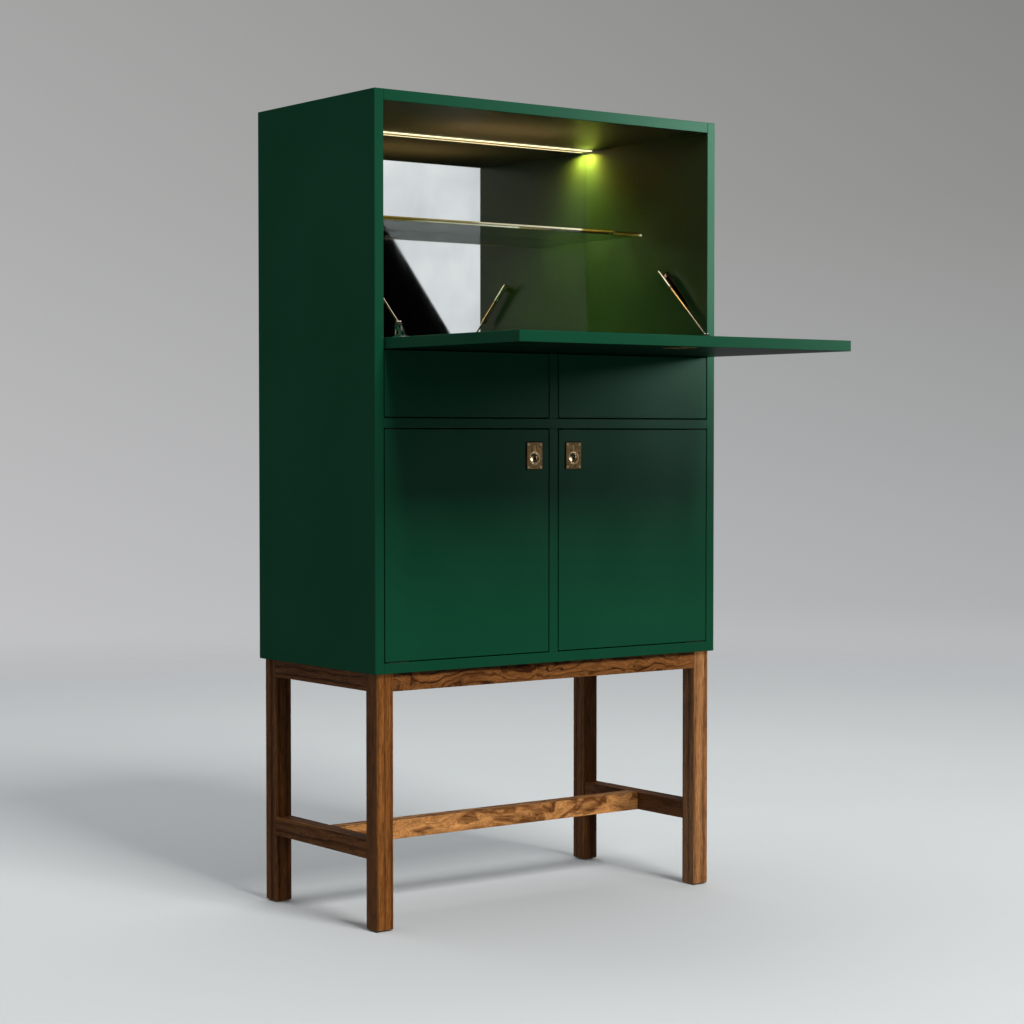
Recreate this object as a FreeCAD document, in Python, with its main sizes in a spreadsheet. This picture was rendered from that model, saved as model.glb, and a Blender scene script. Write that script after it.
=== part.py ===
import FreeCAD, Part
import Sketcher
import math
import os
import re

# A bar cabinet: a lacquered case with a fold-down flap, two drawers and two doors, on a walnut stand.
# Millimetres. x runs along the front, y from the front to the back and z up from the floor.
# The flap is open. The origin is on the floor, midway between the back and the open flap's front edge.

SIZES = (
    ("case_width", 800, "case: overall width"),
    ("case_depth", 400, "case: overall depth"),
    ("case_height", 1037, "case: overall height"),
    ("stand_height", 463, "stand: floor to the underside of the case"),
    ("side_thickness", 19, "case: side panels"),
    ("top_thickness", 20, "case: top panel"),
    ("bottom_thickness", 19, "case: bottom panel"),
    ("floor_thickness", 19, "case: floor of the bar compartment"),
    ("mid_thickness", 18, "case: panel between drawers and doors"),
    ("divider_thickness", 20, "case: upright dividers"),
    ("back_thickness", 8, "case: back panel"),
    ("back_setback", 9, "case: back panel's rear face to the rear edges"),
    ("groove_depth", 5, "case: grooves for the back panel"),
    ("bar_height", 419, "bar compartment: clear height"),
    ("front_thickness", 19.5, "flap, doors and drawer fronts"),
    ("front_gap", 2, "gap round doors and drawer fronts, and over the closed flap"),
    ("flap_side_gap", 1.5, "gap at each end of the flap"),
    ("hinge_gap", 0.75, "flap edge and floor edge to the flap's hinge axis"),
    ("drawer_top_gap", 1.5, "drawer fronts to the underside of the open flap"),
    ("drawer_front_height", 119, "drawer fronts"),
    ("arris", 0.6, "softened edges of lacquered panels"),
    ("fit", 0.1, "clearance of grooves, recesses and joints"),
    ("leg_size", 35.5, "stand: square legs"),
    ("leg_arris", 1.2, "stand: softened edges of legs and rails"),
    ("stand_inset", 8, "stand: legs set in from the case's faces"),
    ("apron_height", 33, "stand: aprons"),
    ("apron_thickness", 24, "stand: aprons"),
    ("apron_setback", 0.5, "stand: aprons behind the legs' outer faces"),
    ("stretcher_height", 35, "stand: stretchers"),
    ("stretcher_thickness", 33, "stand: stretchers"),
    ("stretcher_bottom", 128.5, "stand: floor to the stretchers"),
    ("tenon_length", 11, "stand: tenons"),
    ("tenon_thickness", 9, "stand: tenons"),
    ("tenon_margin", 5, "stand: shoulder above and below a tenon"),
    ("glide_size", 22, "stand: square glides under the legs"),
    ("glide_thickness", 2, "stand: glides under the legs"),
    ("cleat_size", 20, "stand: square cleats that hold the case"),
    ("mirror_thickness", 4, "mirror behind the bar compartment"),
    ("mirror_edge", 0.5, "mirror: gap at its ends and top"),
    ("glass_thickness", 8, "glass shelf"),
    ("glass_depth", 178, "glass shelf"),
    ("glass_rise", 230, "glass shelf: underside over the bar floor"),
    ("glass_let", 4, "glass shelf: its ends let into the side panels"),
    ("glass_back_gap", 1, "glass shelf: gap to the mirror"),
    ("shelf_thickness", 18, "shelves behind the doors"),
    ("shelf_let", 5, "shelves behind the doors: their ends let into the panels"),
    ("shelf_setback", 22, "shelves behind the doors: behind the doors' inner faces"),
    ("shelf_rise", 205, "shelves behind the doors: underside over the bottom panel"),
    ("led_width", 17, "light: profile"),
    ("led_depth", 6, "light: profile"),
    ("led_wall", 1.2, "light: profile's wall"),
    ("led_lip", 1.5, "light: diffuser below the top panel"),
    ("led_tongue", 1.2, "light: diffuser's tongue in the profile"),
    ("led_mirror_gap", 1, "light: gap to the mirror"),
    ("led_end_gap", 0.5, "light: gap at each end"),
    ("leaf_width", 50, "flap hinges: leaf along the axis"),
    ("leaf_reach", 26, "flap hinges: leaf from the axis"),
    ("leaf_thickness", 1.5, "flap hinges: leaf"),
    ("knuckle_radius", 3, "flap hinges: knuckles"),
    ("knuckle_room", 0.4, "flap hinges: clearance round the knuckles"),
    ("knuckle_ease", 0.15, "flap hinges: clearance at each end of a knuckle"),
    ("hinge_pin_radius", 1.25, "flap hinges: pin"),
    ("flap_hinge_spread", 250, "flap hinges: from the middle"),
    ("run", 0.05, "running clearance of pins and rods"),
    ("plate_width", 36, "ring pull: plate"),
    ("plate_height", 50, "ring pull: plate"),
    ("plate_proud", 2, "ring pull: plate in front of the panel"),
    ("ring_radius", 11.4, "ring pull: ring, middle of its wire"),
    ("ring_section", 2.2, "ring pull: ring's square section"),
    ("ring_drop", 4, "ring pull: ring's centre below the plate's centre"),
    ("ring_level", 0.9, "ring pull: ring's middle in front of the panel"),
    ("ring_room", 0.3, "ring pull: clearance round the ring"),
    ("pivot_rise", 19.5, "ring pull: pivot over the plate's centre"),
    ("pivot_level", 0.2, "ring pull: pivot's middle in front of the panel"),
    ("pivot_radius", 1.1, "ring pull: pivot bar"),
    ("pivot_length", 10, "ring pull: pivot bar"),
    ("bowl_radius", 10, "ring pull: finger bowl's mouth"),
    ("bowl_depth", 7, "ring pull: finger bowl"),
    ("cup_wall", 1.4, "ring pull: wall of the cup behind the plate"),
    ("door_pull_spread", 46, "door pulls: plate's centre from the middle"),
    ("door_pull_drop", 49, "door pulls: plate's centre below the door's top"),
    ("flap_pull_edge", 37.5, "flap pull: plate's centre from the flap's front edge"),
    ("stay_plane", 20, "flap stays: plane of the rod from the side panel"),
    ("eye_forward", 35.9, "flap stays: rod eye in front of the hinge axis"),
    ("eye_rise", 25.3, "flap stays: rod eye over the open flap"),
    ("pivot_back", 84.9, "flap stays: wall pivot behind the hinge axis"),
    ("pivot_up", 147, "flap stays: wall pivot over the bar floor"),
    ("pivot_offset", 7, "flap stays: wall pivot off the rod's axis"),
    ("rod_radius", 2, "flap stays: rod"),
    ("rod_length", 125, "flap stays: rod from its eye"),
    ("eye_radius", 4.5, "flap stays: rod eye"),
    ("eye_width", 5, "flap stays: rod eye"),
    ("eye_pin_radius", 2, "flap stays: pin in the eye"),
    ("nose_start", 71, "flap stays: tube from the eye"),
    ("sleeve_radius", 3.3, "flap stays: lower tube"),
    ("sleeve_length", 66, "flap stays: lower tube"),
    ("neck_radius", 2.6, "flap stays: dark neck between the tubes"),
    ("neck_length", 4, "flap stays: neck"),
    ("barrel_tube_radius", 4, "flap stays: upper tube"),
    ("barrel_tube_length", 49, "flap stays: upper tube"),
    ("tube_chamfer", 1, "flap stays: tube ends"),
    ("link_offset", 5.5, "flap stays: side link from the rod's plane"),
    ("link_thickness", 2, "flap stays: side link"),
    ("link_narrow", 2.4, "flap stays: half width of the link at the nose"),
    ("boss_radius", 6, "flap stays: boss on the side link, and the wall stud"),
    ("pivot_face_gap", 0.3, "flap stays: boss face to stud face"),
    ("stud_length", 9, "flap stays: wall stud from the side panel"),
    ("ear_gap", 0.3, "flap brackets: ear to eye"),
    ("ear_thickness", 2, "flap brackets: ears"),
    ("ear_top_radius", 4.5, "flap brackets: ears round the pin"),
    ("ear_front", 19, "flap brackets: ears in front of the pin, at the base"),
    ("ear_back", 6, "flap brackets: ears behind the pin, at the base"),
    ("ear_web", 3, "flap brackets: width of the ears' legs"),
    ("base_thickness", 2.5, "flap brackets: base plate"),
    ("base_width", 18, "flap brackets: base plate"),
    ("knife_length", 45, "door hinges: leaf"),
    ("knife_width", 10, "door hinges: leaf"),
    ("knife_thickness", 2.5, "door hinges: leaf"),
    ("knife_washer", 0.4, "door hinges: gap between the leaves"),
    ("knife_end", 6, "door hinges: leaf beyond its pivot"),
    ("knife_pin_radius", 2, "door hinges: pin"),
    ("knife_pin_end", 0.3, "door hinges: pin's end to the door"),
    ("door_pivot_in", 12, "door hinges: pivot from the door's edge"),
    ("door_pivot_back", 6, "door hinges: pivot behind the door's face"),
    ("catch_length", 40, "door catches"),
    ("catch_height", 13, "door catches"),
    ("catch_depth", 15, "door catches"),
    ("catch_inset", 30, "door catches: from the divider"),
    ("strike_thickness", 1.2, "door strikes"),
    ("strike_length", 32, "door strikes"),
    ("strike_height", 11, "door strikes"),
    ("strike_gap", 0.3, "door strikes: gap to the catch"),
    ("board_thickness", 12, "drawer boxes: sides and back"),
    ("drawer_base_thickness", 6, "drawer boxes: bottom"),
    ("drawer_base_groove", 4, "drawer boxes: groove for the bottom"),
    ("drawer_base_rise", 8, "drawer boxes: bottom above the sides' lower edges"),
    ("box_rise", 8, "drawer boxes: sides above the fronts' lower edges"),
    ("box_height", 92, "drawer boxes: sides"),
    ("box_back_gap", 23.5, "drawer boxes: gap to the back panel"),
    ("grip_bevel", 8, "drawer fronts: bevel behind the top edge, for the fingers"),
    ("runner_space", 13, "drawer runners: side of the box to the panel"),
    ("runner_height", 30, "drawer runners: fixed channel"),
    ("runner_wall", 1.5, "drawer runners: sheet"),
    ("runner_short", 5, "drawer runners: shorter than the boxes' sides"),
    ("runner_rise", 34, "drawer runners: channel above the sides' lower edges"),
    ("runner_gap", 0.3, "drawer runners: rail in its channel"),
)

# Places and sizes worked out from the ones above, as formulas.
PLACES = {
    "flap_reach": "bar_height - front_gap - front_thickness",
    "front_y": "(flap_reach - case_depth) / 2",
    "back_y": "front_y + case_depth",
    "hinge_y": "front_y + front_thickness",
    "case_top": "stand_height + case_height",
    "opening_top": "case_top - top_thickness",
    "floor_top": "opening_top - bar_height",
    "floor_bottom": "floor_top - floor_thickness",
    "floor_front": "hinge_y + hinge_gap",
    "bottom_top": "stand_height + bottom_thickness",
    "inside_half": "case_width / 2 - side_thickness",
    "flap_under": "floor_top - front_thickness",
    "flap_half": "inside_half - flap_side_gap",
    "flap_length": "bar_height - front_gap - hinge_gap",
    "flap_front": "hinge_y - hinge_gap - flap_length",
    "drawer_top": "flap_under - drawer_top_gap",
    "drawer_bottom": "drawer_top - drawer_front_height",
    "mid_top": "drawer_bottom - front_gap",
    "mid_bottom": "mid_top - mid_thickness",
    "door_bottom": "bottom_top + front_gap",
    "door_top": "mid_bottom - front_gap",
    "front_near": "divider_thickness / 2 + front_gap",
    "front_width": "inside_half - front_gap - front_near",
    "front_inner_y": "front_y + front_thickness",
    "back_front": "back_y - back_setback - back_thickness",
    "mirror_front": "back_front - mirror_thickness",
    "led_front": "mirror_front - led_mirror_gap - led_width",
    "glass_front": "mirror_front - glass_back_gap - glass_depth",
    "glass_bottom": "floor_top + glass_rise",
    "shelf_bottom": "bottom_top + shelf_rise",
    "shelf_front": "front_inner_y + shelf_setback",
    "shelf_back": "back_front - fit",
    "leg_near": "case_width / 2 - stand_inset - leg_size",
    "leg_front": "front_y + stand_inset",
    "leg_back": "back_y - stand_inset - leg_size",
    "legs_apart": "leg_back - leg_front - leg_size",
    "apron_bottom": "stand_height - apron_height",
    "apron_tenon_in": "apron_setback + (apron_thickness - tenon_thickness) / 2",
    "middle_y": "front_y + case_depth / 2",
    "cleat_front": "leg_front + apron_setback + apron_thickness",
    "cleat_back": "leg_back + leg_size - apron_setback - apron_thickness - cleat_size",
    "cleat_bottom": "stand_height - cleat_size",
    "ring_half": "ring_section / 2",
    "well_radius": "ring_radius + ring_half + ring_room",
    "well_floor": "ring_half - ring_level + ring_room",
    "cup_half": "well_radius + cup_wall",
    "cup_depth": "well_floor + bowl_depth + cup_wall",
    "pivot_room": "ring_level - pivot_level + ring_half + ring_room",
    "pivot_top": "pivot_rise + pivot_room + cup_wall",
    "pivot_block_half": "pivot_length / 2 + ring_room + cup_wall",
    "pivot_block_depth": "pivot_radius - pivot_level + run",
    "lug_start": "(rod_radius + run + sleeve_radius) / 2",
    "neck_start": "nose_start + sleeve_length",
    "barrel_tube_start": "neck_start + neck_length",
    "tube_end": "barrel_tube_start + barrel_tube_length",
    "knife_proud": "(front_gap - knife_washer) / 2",
    "knife_recess": "knife_thickness - knife_proud",
    "door_pivot_x": "inside_half - front_gap - door_pivot_in",
    "door_pivot_y": "front_y + door_pivot_back",
    "box_near": "divider_thickness / 2 + runner_space",
    "box_far": "inside_half - runner_space",
    "box_bottom": "drawer_bottom + box_rise",
    "box_length": "back_front - front_inner_y - box_back_gap",
    "runner_length": "box_length - runner_short",
    "runner_bottom": "box_bottom + runner_rise",
}

doc = FreeCAD.newDocument("bar_cabinet")
sheet = doc.addObject("Spreadsheet::Sheet", "Sizes")
for row, (alias, number, note) in enumerate(SIZES, 1):
    sheet.set("A%d" % row, note)
    sheet.set("B%d" % row, str(number))
    sheet.setAlias("B%d" % row, alias)
doc.recompute()

ALIASES = {entry[0] for entry in SIZES}
PLANES = {"x": "YZ_Plane", "y": "XZ_Plane", "z": "XY_Plane"}
sub_parts = []


# ---------------------------------------------------------------- formulas and small helpers

def formula(text):
    """Spell a formula of size and place names out in terms of the sheet's cells."""
    def spell(match):
        word = match.group(0)
        if word in PLACES:
            return "(" + formula(PLACES[word]) + ")"
        if word in ALIASES:
            return "Sizes." + word
        raise NameError(word)
    return re.sub(r"[a-z_]+", spell, str(text))


def value(text):
    """A formula's number."""
    return float(sheet.evalExpression(formula(text)))


def bind(item, name, text):
    """Bind one property of an object to a formula."""
    item.setExpression(name, formula(text))


def place(item, spot):
    """Bind an object's position to three formulas."""
    for axis, text in zip("xyz", spot):
        bind(item, "Placement.Base." + axis, text)


def keep(item, name):
    """Name a finished sub-part."""
    item.Label = name
    sub_parts.append(item)
    return item


def span(side, near, length):
    """Low x of a stretch that starts at near from the middle and runs outwards on one side."""
    if side > 0:
        return near
    return "-(%s) - (%s)" % (near, length)


def word(side):
    return "right" if side > 0 else "left"


# ---------------------------------------------------------------- bodies with sketches

def new_sketch(body, axis, start):
    """A sketch square to an axis of the body, with its origin at start."""
    plane = [item for item in body.Origin.OriginFeatures if item.Role == PLANES[axis]][0]
    sketch = body.newObject("Sketcher::SketchObject", body.Name + "_sketch")
    sketch.AttachmentSupport = [(plane, "")]
    sketch.MapMode = "FlatFace"
    x, y, z = start
    across, along, level = {"x": (y, z, x), "y": (x, z, "-(%s)" % y), "z": (x, y, z)}[axis]
    bind(sketch, "AttachmentOffset.Base.x", across)
    bind(sketch, "AttachmentOffset.Base.y", along)
    bind(sketch, "AttachmentOffset.Base.z", level)
    return sketch


def draw(sketch, points):
    """A closed outline through points given as formulas, each tied to the sketch's origin."""
    spots = [FreeCAD.Vector(value(x), value(y), 0) for x, y in points]
    for spot, after in zip(spots, spots[1:] + spots[:1]):
        sketch.addGeometry(Part.LineSegment(spot, after), False)
    for index, (x, y) in enumerate(points):
        following = (index + 1) % len(points)
        sketch.addConstraint(Sketcher.Constraint("Coincident", index, 2, following, 1))
    for index, (x, y) in enumerate(points):
        for kind, text in (("DistanceX", x), ("DistanceY", y)):
            number = sketch.addConstraint(Sketcher.Constraint(kind, -1, 1, index, 1, value(text)))
            bind(sketch, "Constraints[%d]" % number, text)


def draw_circle(sketch, radius):
    """A circle about the sketch's origin."""
    sketch.addGeometry(Part.Circle(FreeCAD.Vector(0, 0, 0), FreeCAD.Vector(0, 0, 1), value(radius)), False)
    sketch.addConstraint(Sketcher.Constraint("Coincident", 0, 3, -1, 1))
    number = sketch.addConstraint(Sketcher.Constraint("Radius", 0, value(radius)))
    bind(sketch, "Constraints[%d]" % number, radius)


def extrude(body, kind, sketch, axis, length):
    """Pad or pocket a sketch towards the axis's positive end."""
    feature = body.newObject("PartDesign::" + kind, body.Name + "_" + kind.lower())
    feature.Profile = sketch
    bind(feature, "Length", length)
    normal_is_positive = axis != "y"
    feature.Reversed = normal_is_positive if kind == "Pocket" else not normal_is_positive
    return feature


def outline(size):
    return (("0", "0"), (size[0], "0"), (size[0], size[1]), ("0", size[1]))


def block(body, low, size):
    """Add a rectangular block to a body."""
    sketch = new_sketch(body, "z", low)
    draw(sketch, outline(size))
    return extrude(body, "Pad", sketch, "z", size[2])


def recess(body, low, size):
    """Cut a rectangular block out of a body."""
    sketch = new_sketch(body, "z", low)
    draw(sketch, outline(size))
    return extrude(body, "Pocket", sketch, "z", size[2])


def bore(body, axis, start, radius, depth):
    """Cut a round hole that runs from start towards the axis's positive end."""
    sketch = new_sketch(body, axis, start)
    draw_circle(sketch, radius)
    return extrude(body, "Pocket", sketch, axis, depth)


def board(name, low, size, softened=None):
    """A body that starts as a rectangular board, with its edges softened where a size is given."""
    body = doc.addObject("PartDesign::Body", name)
    pad = block(body, low, size)
    if softened:
        doc.recompute()
        chamfer = body.newObject("PartDesign::Chamfer", name + "_arris")
        chamfer.Base = (pad, ["Edge%d" % (index + 1) for index in range(len(pad.Shape.Edges))])
        bind(chamfer, "Size", softened)
    return body


def prism(name, axis, start, points, length):
    """A body padded from an outline square to an axis."""
    body = doc.addObject("PartDesign::Body", name)
    sketch = new_sketch(body, axis, start)
    draw(sketch, points)
    extrude(body, "Pad", sketch, axis, length)
    return body


def turned(name, points):
    """A body turned about its own z axis from an outline of (radius, height) points."""
    body = doc.addObject("PartDesign::Body", name)
    sketch = new_sketch(body, "y", ("0", "0", "0"))
    draw(sketch, points)
    turn = body.newObject("PartDesign::Revolution", name + "_turn")
    turn.Profile = sketch
    axis = [item for item in body.Origin.OriginFeatures if item.Role == "Z_Axis"][0]
    turn.ReferenceAxis = (axis, [""])
    turn.Angle = 360
    return body


# ---------------------------------------------------------------- primitives and booleans

TURN = {
    "x": FreeCAD.Rotation(FreeCAD.Vector(0, 1, 0), 90),
    "y": FreeCAD.Rotation(FreeCAD.Vector(1, 0, 0), -90),
    "z": FreeCAD.Rotation(),
}


def cylinder(axis, start, radius, length):
    item = doc.addObject("Part::Cylinder", "round")
    bind(item, "Radius", radius)
    bind(item, "Height", length)
    item.Placement.Rotation = TURN[axis]
    place(item, start)
    return item


def box(low, size):
    item = doc.addObject("Part::Box", "block")
    for name, text in zip(("Length", "Width", "Height"), size):
        bind(item, name, text)
    place(item, low)
    return item


def fuse(items):
    item = doc.addObject("Part::MultiFuse", "joined")
    item.Shapes = items
    return item


def cut(base, tools):
    item = doc.addObject("Part::Cut", "cut")
    item.Base = base
    item.Tool = tools[0] if len(tools) == 1 else fuse(tools)
    return item


def group(items):
    """Several separate solids that make one sub-part."""
    item = doc.addObject("Part::Compound", "group")
    item.Links = items
    return item


# ---------------------------------------------------------------- the walnut stand

def mortise(body, low, size):
    """A tenon's socket: the tenon's block with clearance all round."""
    recess(body, tuple("%s - fit" % text for text in low), tuple("%s + 2 * fit" % text for text in size))


def apron_tenon_x(side, row):
    """The tenon of the front or back apron in one leg."""
    y = {"front": "leg_front + apron_tenon_in",
         "back": "leg_back + leg_size - apron_tenon_in - tenon_thickness"}[row]
    low = (span(side, "leg_near", "tenon_length"), y, "apron_bottom + tenon_margin")
    return low, ("tenon_length", "tenon_thickness", "apron_height - 2 * tenon_margin")


def side_tenon(side, row, bottom, height, inward):
    """The tenon of a side apron or side stretcher in one leg, inward from the leg's outer face."""
    y = {"front": "leg_front + leg_size - tenon_length", "back": "leg_back"}[row]
    x = span(side, "leg_near + leg_size - %s - tenon_thickness" % inward, "tenon_thickness")
    low = (x, y, "%s + tenon_margin" % bottom)
    return low, ("tenon_thickness", "tenon_length", "%s - 2 * tenon_margin" % height)


STRETCHER_TENON_IN = "(leg_size - tenon_thickness) / 2"


def make_leg(side, row):
    """A square leg with mortises for its two aprons and its stretcher."""
    y = {"front": "leg_front", "back": "leg_back"}[row]
    name = "leg_%s_%s" % (row, word(side))
    low = (span(side, "leg_near", "leg_size"), y, "glide_thickness")
    leg = board(name, low, ("leg_size", "leg_size", "stand_height - glide_thickness"), "leg_arris")
    mortise(leg, *apron_tenon_x(side, row))
    mortise(leg, *side_tenon(side, row, "apron_bottom", "apron_height", "apron_tenon_in"))
    mortise(leg, *side_tenon(side, row, "stretcher_bottom", "stretcher_height", STRETCHER_TENON_IN))
    keep(leg, name)


def make_glide(side, row):
    """A square nylon glide under the middle of a leg."""
    y = {"front": "leg_front", "back": "leg_back"}[row] + " + (leg_size - glide_size) / 2"
    x = span(side, "leg_near + (leg_size - glide_size) / 2", "glide_size")
    return box((x, y, "0"), ("glide_size", "glide_size", "glide_thickness"))


def make_long_apron(row):
    """The front or back apron, between the legs, with a tenon at each end."""
    y = {"front": "leg_front + apron_setback",
         "back": "leg_back + leg_size - apron_setback - apron_thickness"}[row]
    low = ("-(leg_near)", y, "apron_bottom")
    apron = board("apron_" + row, low, ("2 * leg_near", "apron_thickness", "apron_height"), "arris")
    for side in (-1, 1):
        block(apron, *apron_tenon_x(side, row))
    keep(apron, "apron_" + row)


def make_side_rail(name, side, bottom, height, thickness, setback, inward):
    """A side apron or side stretcher, between a front and a back leg, with a tenon at each end."""
    x = span(side, "leg_near + leg_size - %s - %s" % (setback, thickness), thickness)
    rail = board(name, (x, "leg_front + leg_size", bottom), (thickness, "legs_apart", height), "arris")
    for row in ("front", "back"):
        block(rail, *side_tenon(side, row, bottom, height, inward))
    keep(rail, name)
    return rail


def centre_tenon(side):
    """The centre stretcher's tenon in a side stretcher."""
    near = "leg_near + (leg_size - stretcher_thickness)"
    low = (span(side, near, "tenon_length"), "middle_y - tenon_thickness / 2",
           "stretcher_bottom + tenon_margin")
    return low, ("tenon_length", "tenon_thickness", "stretcher_height - 2 * tenon_margin")


def make_stand():
    for side in (-1, 1):
        for row in ("front", "back"):
            make_leg(side, row)
        make_side_rail("apron_" + word(side), side, "apron_bottom", "apron_height", "apron_thickness",
                       "apron_setback", "apron_tenon_in")
        stretcher = make_side_rail("stretcher_" + word(side), side, "stretcher_bottom",
                                   "stretcher_height", "stretcher_thickness", "0", STRETCHER_TENON_IN)
        mortise(stretcher, *centre_tenon(side))
    for row in ("front", "back"):
        make_long_apron(row)
    near = "leg_near + (leg_size - stretcher_thickness)"
    low = ("-(%s)" % near, "middle_y - stretcher_thickness / 2", "stretcher_bottom")
    centre = board("stretcher_centre", low, ("2 * (%s)" % near, "stretcher_thickness", "stretcher_height"),
                   "arris")
    for side in (-1, 1):
        block(centre, *centre_tenon(side))
    keep(centre, "stretcher_centre")
    glides = [make_glide(side, row) for side in (-1, 1) for row in ("front", "back")]
    keep(group(glides), "foot_glides")


def make_cleats():
    """Two cleats inside the long aprons, under the case's bottom panel, which is screwed down to them."""
    cleats = []
    for y in ("cleat_front", "cleat_back"):
        cleats.append(box(("-(leg_near)", y, "cleat_bottom"), ("2 * leg_near", "cleat_size", "cleat_size")))
    keep(group(cleats), "case_cleats")


# ---------------------------------------------------------------- the lacquered case

def cut_shelf_groove(panel, side, near):
    """A groove for the end of a shelf behind the doors, from its front edge to the back panel."""
    recess(panel, (span(side, near, "shelf_let"), "shelf_front - fit", "shelf_bottom - fit"),
           ("shelf_let", "back_front - shelf_front + fit", "shelf_thickness + 2 * fit"))


def make_side_panel(side):
    """A side panel, full height, with grooves for the back panel and for the ends of the shelves."""
    name = "side_" + word(side)
    low = (span(side, "inside_half", "side_thickness"), "front_y", "stand_height")
    panel = board(name, low, ("side_thickness", "case_depth", "case_height"), "arris")
    groove = (span(side, "inside_half", "groove_depth"), "back_front - fit",
              "bottom_top - groove_depth")
    recess(panel, groove,
           ("groove_depth", "back_thickness + 2 * fit", "opening_top - bottom_top + 2 * groove_depth"))
    recess(panel, (span(side, "inside_half", "glass_let"), "glass_front - fit", "glass_bottom - fit"),
           ("glass_let", "glass_depth + 2 * fit", "glass_thickness + 2 * fit"))
    cut_shelf_groove(panel, side, "inside_half")
    keep(panel, name)


def make_case():
    for side in (-1, 1):
        make_side_panel(side)
    full = "2 * inside_half"
    deep = "back_front - front_y"
    groove = (full, "back_thickness + 2 * fit", "groove_depth")

    top = board("top_panel", ("-(inside_half)", "front_y", "opening_top"),
                (full, "case_depth", "top_thickness"), "arris")
    recess(top, ("-(inside_half)", "back_front - fit", "opening_top"), groove)
    recess(top, ("-(inside_half)", "led_front - fit", "opening_top"),
           (full, "led_width + 2 * fit", "led_depth + fit"))
    keep(top, "top_panel")

    bottom = board("bottom_panel", ("-(inside_half)", "front_y", "stand_height"),
                   (full, "case_depth", "bottom_thickness"), "arris")
    recess(bottom, ("-(inside_half)", "back_front - fit", "bottom_top - groove_depth"), groove)
    for side in (-1, 1):
        recess(bottom, *knife_box(side, "bottom_top - knife_recess"))
    keep(bottom, "bottom_panel")

    middle = board("mid_panel", ("-(inside_half)", "front_y", "mid_bottom"),
                   (full, deep, "mid_thickness"), "arris")
    for side in (-1, 1):
        recess(middle, *knife_box(side, "mid_bottom"))
    keep(middle, "mid_panel")

    floor = board("bar_floor", ("-(inside_half)", "floor_front", "floor_bottom"),
                  (full, "back_front - floor_front", "floor_thickness"), "arris")
    for x in flap_hinge_spots():
        recess(floor, (leaf_low(x), "hinge_y", "floor_top - leaf_thickness"),
               ("leaf_width + 2 * fit", "leaf_reach + fit", "leaf_thickness"))
        cut_knuckle_room(floor, x)
    keep(floor, "bar_floor")

    half = "-(divider_thickness / 2)"
    lower = board("divider_lower", (half, "front_y", "bottom_top"),
                  ("divider_thickness", deep, "mid_bottom - bottom_top"), "arris")
    for side in (-1, 1):
        cut_shelf_groove(lower, side, "divider_thickness / 2 - shelf_let")
    keep(lower, "divider_lower")

    upper = board("divider_upper", (half, "front_y", "mid_top"),
                  ("divider_thickness", deep, "floor_bottom - mid_top"), "arris")
    recess(upper, (half, "front_y", "drawer_top"),
           ("divider_thickness", "floor_front - front_y", "floor_bottom - drawer_top"))
    keep(upper, "divider_upper")

    back = board("back_panel", ("-(inside_half + groove_depth - fit)", "back_front",
                                "bottom_top - groove_depth + fit"),
                 ("2 * (inside_half + groove_depth - fit)", "back_thickness",
                  "opening_top - bottom_top + 2 * (groove_depth - fit)"))
    keep(back, "back_panel")


# ---------------------------------------------------------------- mirror, shelves and light

def make_inside():
    mirror = board("mirror", ("-(inside_half - mirror_edge)", "mirror_front", "floor_top"),
                   ("2 * (inside_half - mirror_edge)", "mirror_thickness", "bar_height - mirror_edge"))
    keep(mirror, "mirror")
    reach = "(inside_half + glass_let - fit)"
    glass = board("glass_shelf", ("-" + reach, "glass_front", "glass_bottom"),
                  ("2 * " + reach, "glass_depth", "glass_thickness"), "arris")
    keep(glass, "glass_shelf")
    shelves = []
    for side in (-1, 1):
        near = "divider_thickness / 2 - shelf_let + fit"
        width = "inside_half + shelf_let - fit - (%s)" % near
        low = (span(side, near, width), "shelf_front", "shelf_bottom")
        shelves.append(board("shelf", low, (width, "shelf_back - shelf_front", "shelf_thickness"), "arris"))
    keep(group(shelves), "door_shelves")


def make_light():
    """A light under the top panel, next to the mirror: an open aluminium profile and its diffuser."""
    half = "(inside_half - led_end_gap)"
    length = "2 * " + half
    profile = board("led_profile", ("-" + half, "led_front", "opening_top"),
                    (length, "led_width", "led_depth"))
    recess(profile, ("-" + half, "led_front + led_wall", "opening_top"),
           (length, "led_width - 2 * led_wall", "led_depth - led_wall"))
    keep(profile, "led_profile")
    diffuser = board("led_diffuser", ("-" + half, "led_front", "opening_top - led_lip"),
                     (length, "led_width", "led_lip"))
    block(diffuser, ("-" + half, "led_front + led_wall + fit", "opening_top"),
          (length, "led_width - 2 * led_wall - 2 * fit", "led_tongue"))
    keep(diffuser, "led_diffuser")


# ---------------------------------------------------------------- flap and its hinges

def flap_hinge_spots():
    return ("-(flap_hinge_spread)", "flap_hinge_spread")


def leaf_low(x):
    return "%s - leaf_width / 2 - fit" % x


def cut_knuckle_room(panel, x):
    """A round groove in a panel's edge that leaves room for one hinge's knuckles and pin."""
    start = ("%s - leaf_width / 2 - knuckle_room" % x, "hinge_y", "floor_top")
    bore(panel, "x", start, "knuckle_radius + knuckle_room", "leaf_width + 2 * knuckle_room")


FIXED_KNUCKLES = (0, 2)
MOVING_KNUCKLES = (1,)
KNUCKLES = len(FIXED_KNUCKLES + MOVING_KNUCKLES)


def knuckle(x, index, radius, ease):
    """One knuckle along the hinge axis, shortened at both ends by ease."""
    start = "%s - leaf_width / 2 + %d * leaf_width / %d + %s" % (x, index, KNUCKLES, ease)
    length = "leaf_width / %d - 2 * (%s)" % (KNUCKLES, ease)
    return cylinder("x", (start, "hinge_y", "floor_top"), radius, length)


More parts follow.
